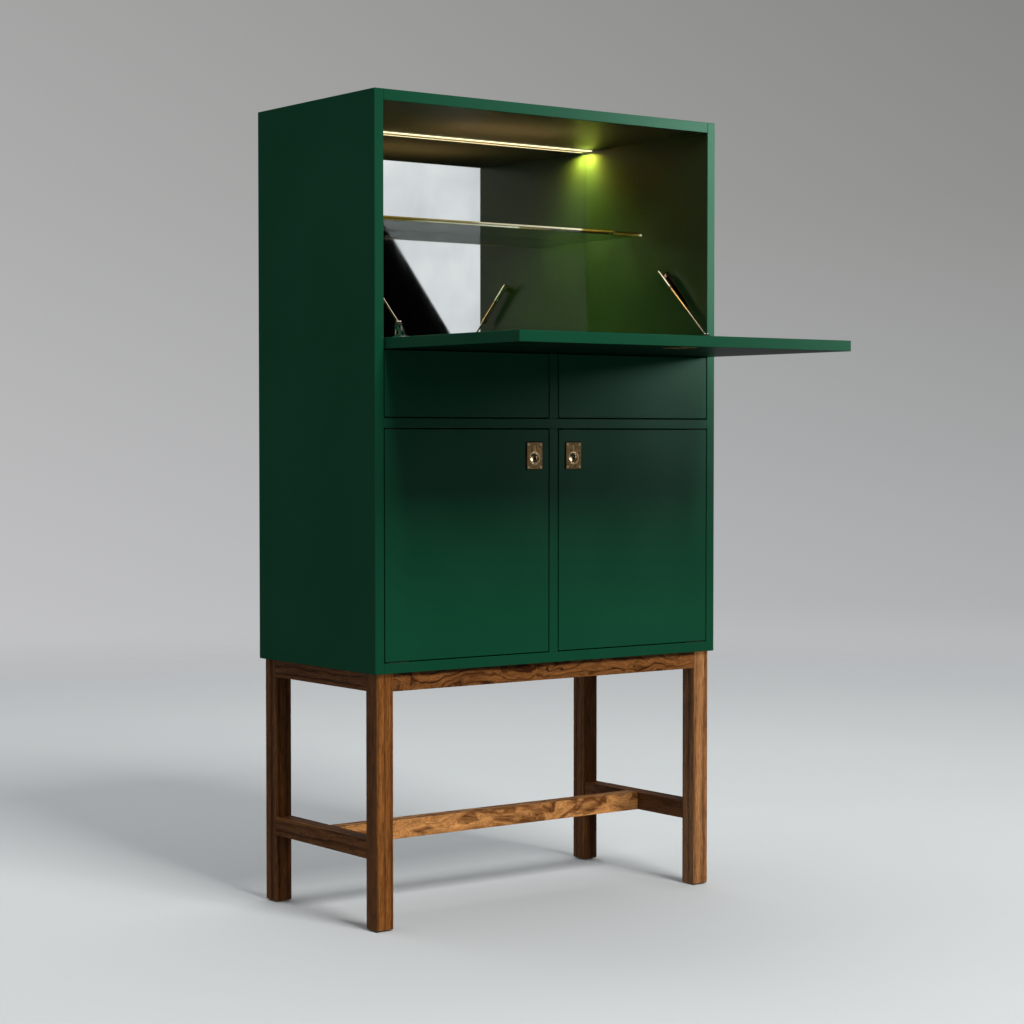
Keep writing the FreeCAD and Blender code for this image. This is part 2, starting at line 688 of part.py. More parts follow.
def make_leaf(x, towards_back):
    """One leaf with its knuckles. The back leaf is screwed to the bar floor and holds the pin."""
    mine, other = (FIXED_KNUCKLES, MOVING_KNUCKLES) if towards_back else (MOVING_KNUCKLES, FIXED_KNUCKLES)
    low_y = "hinge_y" if towards_back else "hinge_y - leaf_reach"
    plate = box(("%s - leaf_width / 2" % x, low_y, "floor_top - leaf_thickness"),
                ("leaf_width", "leaf_reach", "leaf_thickness"))
    room = [knuckle(x, index, "knuckle_radius + knuckle_room", "-(knuckle_ease)") for index in other]
    leaf = fuse([cut(plate, room)] + [knuckle(x, index, "knuckle_radius", "knuckle_ease") for index in mine])
    if towards_back:
        inset = "leaf_width / (2 * %d)" % KNUCKLES
        start = "%s - leaf_width / 2 + %s" % (x, inset)
        return fuse([leaf, cylinder("x", (start, "hinge_y", "floor_top"), "hinge_pin_radius",
                                    "leaf_width - 2 * " + inset)])
    start = "%s - leaf_width / 2" % x
    return cut(leaf, [cylinder("x", (start, "hinge_y", "floor_top"), "hinge_pin_radius + run", "leaf_width")])


def make_flap():
    """The flap, lying open: a plain panel with recesses for its hinges and its ring pull."""
    flap = board("flap", ("-(flap_half)", "flap_front", "flap_under"),
                 ("2 * flap_half", "flap_length", "front_thickness"), "arris")
    for x in flap_hinge_spots():
        recess(flap, (leaf_low(x), "hinge_y - leaf_reach - fit", "floor_top - leaf_thickness"),
               ("leaf_width + 2 * fit", "leaf_reach + fit", "leaf_thickness"))
        cut_knuckle_room(flap, x)
    y = "flap_front + flap_pull_edge"
    recess(flap, ("-(cup_half + fit)", y + " + ring_drop - cup_half - fit", "flap_under"),
           ("2 * (cup_half + fit)", "2 * (cup_half + fit)", "cup_depth + fit"))
    recess(flap, ("-(pivot_block_half + fit)", y + " - pivot_top - fit", "flap_under"),
           ("2 * (pivot_block_half + fit)", "pivot_top + fit", "pivot_block_depth + fit"))
    keep(flap, "flap")
    keep(group([make_leaf(x, True) for x in flap_hinge_spots()]), "flap_hinge_floor_leaves")
    keep(group([make_leaf(x, False) for x in flap_hinge_spots()]), "flap_hinge_flap_leaves")


# ---------------------------------------------------------------- flush ring pulls

def make_ring_pull(prefix, spot, tilt):
    """A plate with a finger bowl, and a ring that lies in a well round the bowl and lifts on a pivot bar.

    It is built facing -y with its pivot at the top, then tilted about x and moved to its spot.
    """
    plate = board(prefix + "_plate_blank", ("-(plate_width / 2)", "-(plate_proud)", "-(plate_height / 2)"),
                  ("plate_width", "plate_proud", "plate_height"), "arris")
    block(plate, ("-(cup_half)", "0", "-(ring_drop + cup_half)"),
          ("2 * cup_half", "cup_depth", "2 * cup_half"))
    block(plate, ("-(pivot_block_half)", "0", "0"),
          ("2 * pivot_block_half", "pivot_block_depth", "pivot_top"))
    bore(plate, "y", ("0", "-(plate_proud)", "-(ring_drop)"), "well_radius", "plate_proud + well_floor")
    slot = "(ring_half + ring_room)"
    recess(plate, ("-" + slot, "-(plate_proud)", "0"),
           ("2 * " + slot, "plate_proud + well_floor", "pivot_rise + pivot_room"))
    seat = "(pivot_radius + run)"
    recess(plate, ("-(pivot_length / 2 + ring_room)", "-(pivot_level + %s)" % seat, "pivot_rise - " + seat),
           ("pivot_length + 2 * ring_room", "pivot_level + pivot_block_depth + " + seat, "2 * " + seat))
    bore(plate, "y", ("0", "well_floor", "-(ring_drop)"), "bowl_radius", "bowl_depth")

    hoop = turned(prefix + "_hoop", (
        ("ring_radius - ring_half", "-(ring_half)"),
        ("ring_radius + ring_half", "-(ring_half)"),
        ("ring_radius + ring_half", "ring_half"),
        ("ring_radius - ring_half", "ring_half"),
    ))
    hoop.Placement.Rotation = TURN["y"]
    place(hoop, ("0", "-(ring_level)", "-(ring_drop)"))
    stem = box(("-(ring_half)", "-(ring_level + ring_half)", "ring_radius - ring_drop"),
               ("ring_section", "ring_section", "pivot_rise + ring_drop - ring_radius"))
    bar = cylinder("x", ("-(pivot_length / 2)", "-(pivot_level)", "pivot_rise"), "pivot_radius",
                   "pivot_length")
    ring = fuse([hoop, stem, bar])
    for item, name in ((plate, prefix + "_plate"), (ring, prefix + "_ring")):
        item.Placement.Rotation = FreeCAD.Rotation(FreeCAD.Vector(1, 0, 0), tilt)
        place(item, spot)
        keep(item, name)


# ---------------------------------------------------------------- telescopic flap stays

def stay_frame(side):
    """The placement of a stay: z runs along the rod from its eye, -y towards the wall pivot."""
    rise = value("pivot_up - eye_rise")
    run_back = value("pivot_back + eye_forward")
    offset = value("pivot_offset")
    apart = math.hypot(rise, run_back)
    tilt = math.degrees(math.atan2(rise, run_back) - math.asin(offset / apart))
    spot = FreeCAD.Vector(value(span(side, "inside_half - stay_plane", "0")),
                          value("hinge_y - eye_forward"), value("floor_top + eye_rise"))
    return FreeCAD.Placement(spot, FreeCAD.Rotation(FreeCAD.Vector(1, 0, 0), tilt - 90))


def pivot_along():
    """How far along the rod from its eye the wall pivot lies."""
    apart = "((pivot_up - eye_rise) ^ 2 + (pivot_back + eye_forward) ^ 2"
    return "(%s - pivot_offset ^ 2) ^ 0.5)" % apart


def make_tube(side):
    """The tube of a stay: two turned barrels with a neck, bored for the rod, and a tapered side link
    that carries the boss of the wall pivot."""
    name = "stay_%s_tube" % word(side)
    hole = "rod_radius + run"
    barrels = turned(name + "_barrels", (
        (hole, "nose_start"),
        ("sleeve_radius", "nose_start"),
        ("sleeve_radius", "neck_start"),
        ("neck_radius", "neck_start"),
        ("neck_radius", "barrel_tube_start"),
        ("barrel_tube_radius", "barrel_tube_start"),
        ("barrel_tube_radius", "tube_end - tube_chamfer"),
        ("barrel_tube_radius - tube_chamfer", "tube_end"),
        ("0", "tube_end"),
        ("0", "tube_end - 3 * tube_chamfer"),
        (hole, "tube_end - 3 * tube_chamfer"),
    ))
    along = pivot_along()
    x = span(side, "link_offset", "link_thickness")
    link = prism(name + "_link", "x", (x, "0", "0"), (
        ("-(link_narrow)", "nose_start + tube_chamfer"),
        ("link_narrow", "nose_start + tube_chamfer"),
        ("boss_radius - pivot_offset", along),
        ("-(boss_radius + pivot_offset)", along),
    ), "link_thickness")
    reach = "stay_plane - link_offset - stud_length - pivot_face_gap"
    root = "link_offset + link_thickness / 2"
    pivot = cylinder("x", (span(side, root, reach + " - link_thickness / 2"), "-(pivot_offset)", along),
                     "boss_radius", reach + " - link_thickness / 2")
    lug_x = span(side, "lug_start", "link_offset - lug_start")
    nose_lug = box((lug_x, "-(link_narrow / 2)", "nose_start + 2 * tube_chamfer"),
                   ("link_offset - lug_start", "link_narrow", "3 * link_narrow"))
    top_lug = box((lug_x, "-(pivot_offset)", along + " - boss_radius / 2"),
                  ("link_offset - lug_start", "pivot_offset + link_narrow / 2", "boss_radius"))
    tube = fuse([barrels, link, pivot, nose_lug, top_lug])
    tube.Placement = stay_frame(side)
    keep(tube, name)


def make_rod(side):
    """The rod of a stay, with the eye that the flap's bracket holds."""
    shaft = cylinder("z", ("0", "0", "0"), "rod_radius", "rod_length")
    eye = cylinder("x", ("-(eye_width / 2)", "0", "0"), "eye_radius", "eye_width")
    hole = cylinder("x", ("-(eye_width)", "0", "0"), "eye_pin_radius + run", "2 * eye_width")
    rod = cut(fuse([shaft, eye]), [hole])
    rod.Placement = stay_frame(side)
    keep(rod, "stay_%s_rod" % word(side))


def make_flap_bracket(side):
    """A bracket on the flap: a base plate, two A-shaped ears and the pin of the rod's eye."""
    pin_y = "hinge_y - eye_forward"
    pin_z = "floor_top + eye_rise"
    centre = span(side, "inside_half - stay_plane", "0")
    base_top = "floor_top + base_thickness"
    base = box(("%s - base_width / 2" % centre, pin_y + " - ear_front", "floor_top"),
               ("base_width", "ear_front + ear_back", "base_thickness"))
    tall = "(eye_rise - base_thickness)"
    ears = []
    for near in ("eye_width / 2 + ear_gap", "-(eye_width / 2 + ear_gap + ear_thickness)"):
        x = "%s + %s" % (centre, near)
        ear = prism("ear", "x", (x, pin_y, base_top), (
            ("-(ear_front)", "0"),
            ("ear_back", "0"),
            ("ear_top_radius", tall),
            ("-(ear_top_radius)", tall),
        ), "ear_thickness")
        window = new_sketch(ear, "x", (x, pin_y, base_top))
        draw(window, (
            ("-(ear_front) + 2 * ear_web", "ear_web"),
            ("ear_back - ear_web", "ear_web"),
            ("0", tall + " - 2 * ear_top_radius"),
        ))
        extrude(ear, "Pocket", window, "x", "ear_thickness")
        ears.append(ear)
        ears.append(cylinder("x", (x, pin_y, pin_z), "ear_top_radius", "ear_thickness"))
    reach = "eye_width / 2 + ear_gap + ear_thickness / 2"
    pin = cylinder("x", ("%s - (%s)" % (centre, reach), pin_y, pin_z), "eye_pin_radius", "2 * (%s)" % reach)
    return fuse([base] + ears + [pin])


def make_wall_bracket(side):
    """A stud on the side panel, which the stay's boss faces."""
    spot = (span(side, "inside_half - stud_length", "stud_length"), "hinge_y + pivot_back",
            "floor_top + pivot_up")
    return cylinder("x", spot, "boss_radius", "stud_length")


def make_stays():
    for side in (-1, 1):
        make_tube(side)
        make_rod(side)
    keep(group([make_flap_bracket(side) for side in (-1, 1)]), "stay_flap_brackets")
    keep(group([make_wall_bracket(side) for side in (-1, 1)]), "stay_wall_brackets")


# ---------------------------------------------------------------- doors and their knife hinges

def knife_box(side, level):
    """The recess of a knife hinge's leaf, at the pivot of one door."""
    low = (span(side, "door_pivot_x - knife_length + knife_end - fit", "knife_length + 2 * fit"),
           "door_pivot_y - knife_width / 2 - fit", level)
    return low, ("knife_length + 2 * fit", "knife_width + 2 * fit", "knife_recess")


def knife_leaf(side, level):
    """A knife hinge's leaf, with its underside at level."""
    low = (span(side, "door_pivot_x - knife_length + knife_end", "knife_length"),
           "door_pivot_y - knife_width / 2", level)
    return box(low, ("knife_length", "knife_width", "knife_thickness"))


KNIFE_ENDS = (
    ("top", "mid_bottom - knife_proud", "door_top - knife_recess"),
    ("bottom", "bottom_top - knife_recess", "door_bottom - knife_proud"),
)


def make_case_leaf(side, end, case_level, door_level):
    """A leaf in the case, with the pin that passes through the door's leaf."""
    x = span(side, "door_pivot_x", "0")
    length = "1.5 * knife_thickness + knife_washer - knife_pin_end"
    start = door_level + " + knife_pin_end" if end == "top" else case_level + " + knife_thickness / 2"
    pin = cylinder("z", (x, "door_pivot_y", start), "knife_pin_radius", length)
    return fuse([knife_leaf(side, case_level), pin])


def make_door_leaf(side, end, case_level, door_level):
    """A leaf in a door's edge, bored for the pin."""
    x = span(side, "door_pivot_x", "0")
    hole = cylinder("z", (x, "door_pivot_y", door_level), "knife_pin_radius + run", "knife_thickness")
    return cut(knife_leaf(side, door_level), [hole])


def make_door(side):
    """A door, let in flush: a plain panel with recesses for its hinge leaves and ring pull."""
    name = "door_" + word(side)
    low = (span(side, "front_near", "front_width"), "front_y", "door_bottom")
    door = board(name, low, ("front_width", "front_thickness", "door_top - door_bottom"), "arris")
    recess(door, *knife_box(side, "door_top - knife_recess"))
    recess(door, *knife_box(side, "door_bottom"))
    x = span(side, "door_pull_spread", "0")
    z = "door_top - door_pull_drop"
    recess(door, (x + " - cup_half - fit", "front_y", z + " - ring_drop - cup_half - fit"),
           ("2 * (cup_half + fit)", "cup_depth + fit", "2 * (cup_half + fit)"))
    recess(door, (x + " - pivot_block_half - fit", "front_y", z),
           ("2 * (pivot_block_half + fit)", "pivot_block_depth + fit", "pivot_top + fit"))
    keep(door, name)
    keep(group([make_door_leaf(side, *end) for end in KNIFE_ENDS]), name + "_hinge_leaves")
    make_ring_pull(name + "_pull", (x, "front_y", z), 0)
    strike = board(name + "_strike",
                   (span(side, "divider_thickness / 2 + catch_inset + (catch_length - strike_length) / 2",
                         "strike_length"),
                    "front_inner_y", "door_top - strike_height - arris"),
                   ("strike_length", "strike_thickness", "strike_height"))
    keep(strike, name + "_strike")


def make_doors():
    for side in (-1, 1):
        make_door(side)
    leaves = [make_case_leaf(side, *end) for side in (-1, 1) for end in KNIFE_ENDS]
    keep(group(leaves), "door_hinge_case_leaves")
    catches = []
    for side in (-1, 1):
        low = (span(side, "divider_thickness / 2 + catch_inset", "catch_length"),
               "front_inner_y + strike_thickness + strike_gap", "mid_bottom - catch_height")
        catches.append(box(low, ("catch_length", "catch_depth", "catch_height")))
    keep(group(catches), "door_catches")


# ---------------------------------------------------------------- drawers and their runners

def make_drawer_front(side):
    """A drawer front with a bevel behind its top edge, where the fingers reach over it."""
    name = "drawer_%s_front" % word(side)
    low = (span(side, "front_near", "front_width"), "front_y", "drawer_bottom")
    front = board(name, low, ("front_width", "front_thickness", "drawer_front_height"), "arris")
    bevel = new_sketch(front, "x", (low[0], "front_inner_y", "drawer_top"))
    draw(bevel, (("-(grip_bevel)", "0"), ("0", "-(grip_bevel)"), ("0", "0")))
    extrude(front, "Pocket", bevel, "x", "front_width")
    keep(front, name)


def make_drawer_box(side):
    """A drawer box: two sides and a back, with the bottom in grooves."""
    sides = []
    base_z = "box_bottom + drawer_base_rise"
    for near, groove_near in (("box_near", "box_near + board_thickness - drawer_base_groove"),
                              ("box_far - board_thickness", "box_far - board_thickness")):
        low = (span(side, near, "board_thickness"), "front_inner_y", "box_bottom")
        panel = board("drawer_side", low, ("board_thickness", "box_length", "box_height"))
        recess(panel, (span(side, groove_near, "drawer_base_groove"), "front_inner_y", base_z + " - fit"),
               ("drawer_base_groove", "box_length", "drawer_base_thickness + 2 * fit"))
        sides.append(panel)
    between = "box_far - box_near - 2 * board_thickness"
    inner = "box_near + board_thickness"
    back = board("drawer_back", (span(side, inner, between), "front_inner_y + box_length - board_thickness",
                                 base_z + " + drawer_base_thickness"),
                 (between, "board_thickness", "box_height - drawer_base_rise - drawer_base_thickness"))
    wide = between + " + 2 * (drawer_base_groove - fit)"
    base = board("drawer_base", (span(side, inner + " - (drawer_base_groove - fit)", wide),
                                 "front_inner_y", base_z),
                 (wide, "box_length", "drawer_base_thickness"))
    keep(group(sides + [back, base]), "drawer_%s_box" % word(side))


def make_channel(side, face, faces_out):
    """A runner's fixed channel on a panel face, open towards the drawer box."""
    deep = "runner_space - runner_wall"
    low = face + " - (%s)" % deep if faces_out else face
    tall = "runner_height"
    outer = box((span(side, low, deep), "front_inner_y + runner_wall", "runner_bottom"),
                (deep, "runner_length", tall))
    hollow_near = low if faces_out else low + " + runner_wall"
    hollow = box((span(side, hollow_near, deep + " - runner_wall"), "front_inner_y + runner_wall",
                  "runner_bottom + runner_wall"),
                 (deep + " - runner_wall", "runner_length", tall + " - 2 * runner_wall"))
    return cut(outer, [hollow])


def make_rail(side, face, faces_out):
    """A runner's moving rail on the drawer box, nested in the channel and open towards the panel."""
    deep = "runner_space - runner_wall - runner_gap"
    low = face if faces_out else face + " - (%s)" % deep
    tall = "(runner_height - 2 * runner_wall - 2 * runner_gap)"
    bottom = "runner_bottom + runner_wall + runner_gap"
    outer = box((span(side, low, deep), "front_inner_y", bottom), (deep, "runner_length", tall))
    hollow_near = low + " + runner_wall" if faces_out else low
    hollow = box((span(side, hollow_near, deep + " - runner_wall"), "front_inner_y",
                  bottom + " + runner_wall"),
                 (deep + " - runner_wall", "runner_length", tall + " - 2 * runner_wall"))
    return cut(outer, [hollow])


def make_drawers():
    channels = []
    for side in (-1, 1):
        make_drawer_front(side)
        make_drawer_box(side)
        channels.append(make_channel(side, "inside_half", True))
        channels.append(make_channel(side, "divider_thickness / 2", False))
        rails = [make_rail(side, "box_far", True), make_rail(side, "box_near", False)]
        keep(group(rails), "drawer_%s_rails" % word(side))
    keep(group(channels), "drawer_runner_channels")


# ---------------------------------------------------------------- build, check and write

make_stand()
make_cleats()
make_case()
make_inside()
make_light()
make_flap()
make_ring_pull("flap_pull", ("0", "flap_front + flap_pull_edge", "flap_under"), 90)
make_stays()
make_doors()
make_drawers()
doc.recompute()

for item in doc.Objects:
    if "Invalid" in item.State or "Error" in item.State:
        raise RuntimeError("%s did not build: %s" % (item.Label, item.State))
    if item.TypeId == "PartDesign::Pocket":
        if item.Shape.Volume > item.BaseFeature.Shape.Volume - 0.01:
            raise RuntimeError("%s cuts nothing" % item.Label)
for item in sub_parts:
    if item.Shape.isNull() or not item.Shape.isValid():
        raise RuntimeError("%s has no valid shape" % item.Label)

os.makedirs("parts", exist_ok=True)
for item in sub_parts:
    item.Shape.exportStep("parts/%s.step" % item.Label)
print(len(sub_parts), "sub-parts,", sum(len(item.Shape.Solids) for item in sub_parts), "solids")
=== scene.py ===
import math
import random

import bmesh
import bpy
from mathutils import Matrix, Vector


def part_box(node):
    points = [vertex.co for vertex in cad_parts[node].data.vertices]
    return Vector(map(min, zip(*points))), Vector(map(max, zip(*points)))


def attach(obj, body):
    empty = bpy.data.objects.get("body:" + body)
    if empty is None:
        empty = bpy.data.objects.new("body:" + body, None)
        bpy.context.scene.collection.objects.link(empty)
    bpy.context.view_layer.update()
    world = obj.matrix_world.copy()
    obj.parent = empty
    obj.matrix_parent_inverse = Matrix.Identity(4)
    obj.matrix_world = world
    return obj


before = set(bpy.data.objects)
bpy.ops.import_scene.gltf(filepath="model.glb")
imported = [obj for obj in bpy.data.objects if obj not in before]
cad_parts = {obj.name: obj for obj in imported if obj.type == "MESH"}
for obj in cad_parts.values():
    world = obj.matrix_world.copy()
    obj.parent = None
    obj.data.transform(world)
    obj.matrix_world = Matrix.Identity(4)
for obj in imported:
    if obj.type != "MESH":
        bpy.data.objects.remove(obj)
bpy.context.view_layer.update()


# ---------------------------------------------------------------- the camera
# The cabinet is seen from in front of its left corner, from a little under a metre up, through a long lens
# that keeps its uprights nearly parallel.

TURNED_RIGHT, TILTED_DOWN = 36.803, 1.8385

camera = bpy.data.objects.new("camera", bpy.data.cameras.new("camera"))
bpy.context.scene.collection.objects.link(camera)
camera.data.sensor_width = 36
camera.data.lens = 82.83
camera.location = (-2.7025, -3.48295, 0.8861)
camera.rotation_euler = (math.radians(90 - TILTED_DOWN), 0, math.radians(-TURNED_RIGHT))
bpy.context.scene.camera = camera
bpy.context.scene.view_settings.view_transform = "Standard"


# ---------------------------------------------------------------- the studio
# A seamless grey sweep, darker towards the top, and a matt floor that fades into it. One soft lamp stands
# high in front of the cabinet and a wide one hangs above and behind it, with small lamps for single pieces.
# A white panel stands far to its front right, where the mirror sees it.

def add(tree, kind, values=None, **settings):
    """A shader node, with its settings and with its inputs given as numbers or as other nodes' outputs."""
    node = tree.nodes.new("ShaderNode" + kind)
    for name, setting in settings.items():
        setattr(node, name, setting)
    for name, given in (values or {}).items():
        if isinstance(given, bpy.types.NodeSocket):
            tree.links.new(given, node.inputs[name])
        else:
            node.inputs[name].default_value = given
    return node


def new_material(name):
    """An empty material and its node tree."""
    made = bpy.data.materials.new(name)
    made.use_nodes = True
    made.node_tree.nodes.clear()
    return made, made.node_tree


def object_place(tree):
    """Where a point lies on its piece, in metres."""
    return add(tree, "TexCoord").outputs["Object"]


def split(tree, vector):
    """The X, Y and Z of a vector."""
    return add(tree, "SeparateXYZ", {0: vector}).outputs


def tone(red, green, blue):
    """A colour given as it looks on a screen, 0 to 255, as light."""
    levels = [level / 255 for level in (red, green, blue)]
    return tuple(x / 12.92 if x <= 0.04045 else ((x + 0.055) / 1.055) ** 2.4 for x in levels)


def ramp(tree, share, stops):
    """Colours along a share from 0 to 1, from (place, colour) pairs in rising order."""
    node = add(tree, "ValToRGB", {"Fac": share})
    elements = node.color_ramp.elements
    for _ in stops[2:]:
        elements.new(1)
    for element, (place, colour) in zip(elements, stops):
        element.position = place
        element.color = (*colour, 1)
    return node.outputs["Color"]


def mix(tree, share, under, over, blend="MIX"):
    """Two colours mixed by a share."""
    node = add(tree, "Mix", {0: share}, data_type="RGBA", blend_type=blend)
    for name, given in ((6, under), (7, over)):
        if isinstance(given, bpy.types.NodeSocket):
            tree.links.new(given, node.inputs[name])
        else:
            node.inputs[name].default_value = (*given, 1)
    return node.outputs[2]


def maths(tree, operation, *given):
    """One sum with numbers."""
    return add(tree, "Math", dict(enumerate(given)), operation=operation).outputs[0]


def dot(tree, first, second):
    """How far two vectors agree."""
    return add(tree, "VectorMath", {0: first, 1: second}, operation="DOT_PRODUCT").outputs["Value"]


def length(tree, vector):
    """How long a vector is."""
    return add(tree, "VectorMath", {0: vector}, operation="LENGTH").outputs["Value"]


def noise(tree, where, scale, detail, output="Fac", **more):
    """Cloudy noise, as a number or as a colour."""
    values = {"Vector": where, "Scale": scale, "Detail": detail, **more}
    return add(tree, "TexNoise", values).outputs[output]


def spread(tree, given, low, high, to_low=0.0, to_high=1.0, smooth=False):
    """A number carried from one range to another, and kept inside it."""
    kind = "SMOOTHSTEP" if smooth else "LINEAR"
    return add(tree, "MapRange", {0: given, 1: low, 2: high, 3: to_low, 4: to_high},
               interpolation_type=kind).outputs[0]


# the sweep's greys by how steeply one looks up, at the left and at the right of the view
SWEEP_LEFT = ((-0.20, (200, 202, 204)), (-0.07, (192, 192, 194)), (0.10, (172, 172, 172)),
              (0.40, (140, 140, 138)))
SWEEP_RIGHT = ((-0.20, (212, 216, 218)), (-0.11, (196, 198, 200)), (-0.07, (174, 176, 178)),
               (0.10, (144, 144, 142)), (0.40, (104, 104, 102)))
FROM_BELOW, FROM_ABOVE = -0.2, 0.4
TO_THE_LEFT, HALF_A_VIEW = (-0.8007, 0.5990, 0), 0.21

# the room's light from the floor up, a brighter wall at the left, and what mirrors see of the room
ROOM_LIGHT = ((0.00, (0.62, 0.64, 0.66)), (0.22, (0.30, 0.31, 0.32)), (0.46, (0.035, 0.035, 0.038)),
              (0.54, (0.050, 0.050, 0.052)), (1.00, (0.42, 0.42, 0.42)))
LEFT_WALL, LEFT_GLOW = (-0.85, 0.53, 0), (0.66, 0.68, 0.70)
FAR_WALL, FAR_GREY, UNLIT = (0.60, 0.80, 0), (0.11, 0.115, 0.115), (0.0006, 0.0006, 0.0006)

world = bpy.data.worlds.new("studio_sweep")
bpy.context.scene.world = world
world.use_nodes = True
tree = world.node_tree
tree.nodes.clear()
towards = add(tree, "TexCoord").outputs["Generated"]
rise = split(tree, towards)["Z"]
height_share = spread(tree, rise, FROM_BELOW, FROM_ABOVE)
sides = [ramp(tree, height_share,
              [((place - FROM_BELOW) / (FROM_ABOVE - FROM_BELOW), tone(*grey)) for place, grey in stops])
         for stops in (SWEEP_RIGHT, SWEEP_LEFT)]
leftwards = dot(tree, towards, TO_THE_LEFT)
sweep = mix(tree, spread(tree, leftwards, -HALF_A_VIEW, HALF_A_VIEW), *sides)
even = ramp(tree, spread(tree, rise, -1.0, 1.0), ROOM_LIGHT)
glow = maths(tree, "MULTIPLY", spread(tree, dot(tree, towards, LEFT_WALL), 0.30, 0.95, smooth=True),
             spread(tree, rise, 0.60, 0.10, smooth=True))
room = mix(tree, glow, even, LEFT_GLOW)
mirrored = mix(tree, spread(tree, dot(tree, towards, FAR_WALL), 0.70, 0.95, smooth=True), UNLIT, FAR_GREY)
seen, soft, dark = [add(tree, "Background", {"Color": light, "Strength": 1.0}).outputs[0]
                    for light in (sweep, room, mirrored)]
path = add(tree, "LightPath").outputs
bounced = add(tree, "MixShader", {0: path["Is Glossy Ray"], 1: soft, 2: dark}).outputs[0]
shown = add(tree, "MixShader", {0: path["Is Camera Ray"], 1: bounced, 2: seen}).outputs[0]
add(tree, "OutputWorld", {"Surface": shown})

FLOOR_RINGS = (0.9, 1.8, 3.2, 5.0, 8.0, 14.0)
FLOOR_SIDES = 64
FLOOR_LEVEL = -0.0003
FLOOR_FADE = (3.2, 6.5)

mesh = bmesh.new()
rings = []
for radius in FLOOR_RINGS:
    turns = [index * math.tau / FLOOR_SIDES for index in range(FLOOR_SIDES)]
    rings.append([mesh.verts.new((radius * math.cos(turn), radius * math.sin(turn), FLOOR_LEVEL))
                  for turn in turns])
mesh.faces.new(rings[0])
for inner, outer in zip(rings, rings[1:]):
    for index in range(FLOOR_SIDES):
        after = (index + 1) % FLOOR_SIDES
        mesh.faces.new((inner[index], outer[index], outer[after], inner[after]))
floor_mesh = bpy.data.meshes.new("studio_floor")
mesh.to_mesh(floor_mesh)
mesh.free()
floor = bpy.data.objects.new("studio_floor", floor_mesh)
bpy.context.scene.collection.objects.link(floor)
floor.visible_diffuse = False
floor.visible_glossy = False

material, tree = new_material("studio_floor")
place = object_place(tree)
out = length(tree, place)
cloud = noise(tree, place, 1.1, 3.0)
grain = noise(tree, place, 900.0, 1.0)
paint = mix(tree, spread(tree, cloud, 0.3, 0.7), (0.640, 0.668, 0.680), (0.655, 0.684, 0.694))
bump = add(tree, "Bump", {"Height": grain, "Strength": 0.06, "Distance": 0.0004})
matt = add(tree, "BsdfPrincipled", {"Base Color": paint, "Roughness": 0.85, "Specular IOR Level": 0.15,
                                    "Normal": bump.outputs[0]})
clear = add(tree, "BsdfTransparent")
faded = add(tree, "MixShader", {0: spread(tree, out, *FLOOR_FADE, smooth=True), 1: matt.outputs[0],
                                2: clear.outputs[0]})
add(tree, "OutputMaterial", {"Surface": faded.outputs[0]})
floor.data.materials.append(material)


def light_only(lit, pieces):
    """Keep a lamp's light to a few pieces, as a flag or a snoot does in a studio."""
    chosen = bpy.data.collections.new(lit.name + "_lights")
    for piece in pieces:
        chosen.objects.link(piece)
    lit.light_linking.receiver_collection = chosen


def shade_only(lit, pieces):
    """Let only a few pieces cast a shadow in a lamp's light."""
    chosen = bpy.data.collections.new(lit.name + "_shadows")
    for piece in pieces:
        chosen.objects.link(piece)
    lit.light_linking.blocker_collection = chosen


def lamp(name, place, aim, size, watts, colour=(1, 1, 1), angle=180, gloss_only=False, matt_only=False,
         lights=None, shades=None):
    """A rectangular lamp that isn't seen itself. It may make highlights alone or none, light a few pieces
    alone, and let a few alone cast shadows."""
    data = bpy.data.lights.new(name, "AREA")
    data.shape = "RECTANGLE"
    data.size, data.size_y = size
    data.energy = watts
    data.color = colour
    data.spread = math.radians(angle)
    made = bpy.data.objects.new(name, data)
    made.location = place
    made.rotation_euler = (Vector(aim) - Vector(place)).to_track_quat("-Z", "Y").to_euler()
    made.visible_camera = False
    made.visible_diffuse = not gloss_only
    made.visible_glossy = not matt_only
    bpy.context.scene.collection.objects.link(made)
    if lights is not None:
        light_only(made, lights)
    if shades is not None:
        shade_only(made, shades)


def nodes(*names):
    """Pieces that come ready made from the frame."""
    return [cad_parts[name] for name in names]


LACQUERED = ("side_left", "side_right", "top_panel", "bottom_panel", "mid_panel", "bar_floor",
             "divider_lower", "divider_upper", "back_panel", "door_shelves", "flap", "door_left",
             "door_right", "drawer_left_front", "drawer_right_front")

lamp("key_lamp", place=(0.0, -5.90, 6.10), aim=(0.0, 0.0, 0.60), size=(2.6, 2.6), watts=560,
     colour=(1.0, 0.99, 0.97), matt_only=True)
lamp("overhead_lamp", place=(0.7, 1.9, 5.0), aim=(0.7, 1.9, 0.0), size=(5.0, 4.4), watts=100,
     colour=(0.97, 0.99, 1.0), matt_only=True)
lamp("right_lamp", place=(2.15, -1.50, 1.78), aim=(0.9, 0.0, 1.1), size=(0.9, 1.2), watts=5.0,
     colour=(0.54, 1.0, 0.76), angle=60, gloss_only=True, lights=nodes(*LACQUERED))
lamp("left_card", place=(-3.2, -4.8, 1.7), aim=(0.0, 0.2, 1.2), size=(3.0, 2.6), watts=14,
     colour=(1.0, 0.97, 0.80), gloss_only=True, lights=nodes("side_right"))
lamp("low_lamp", place=(1.50, -3.40, 0.60), aim=(0.12, 0.0, 0.20), size=(0.8, 0.8), watts=100,
     colour=(1.0, 0.98, 0.95), matt_only=True,
     lights=nodes("leg_front_left", "leg_front_right", "stretcher_centre"))

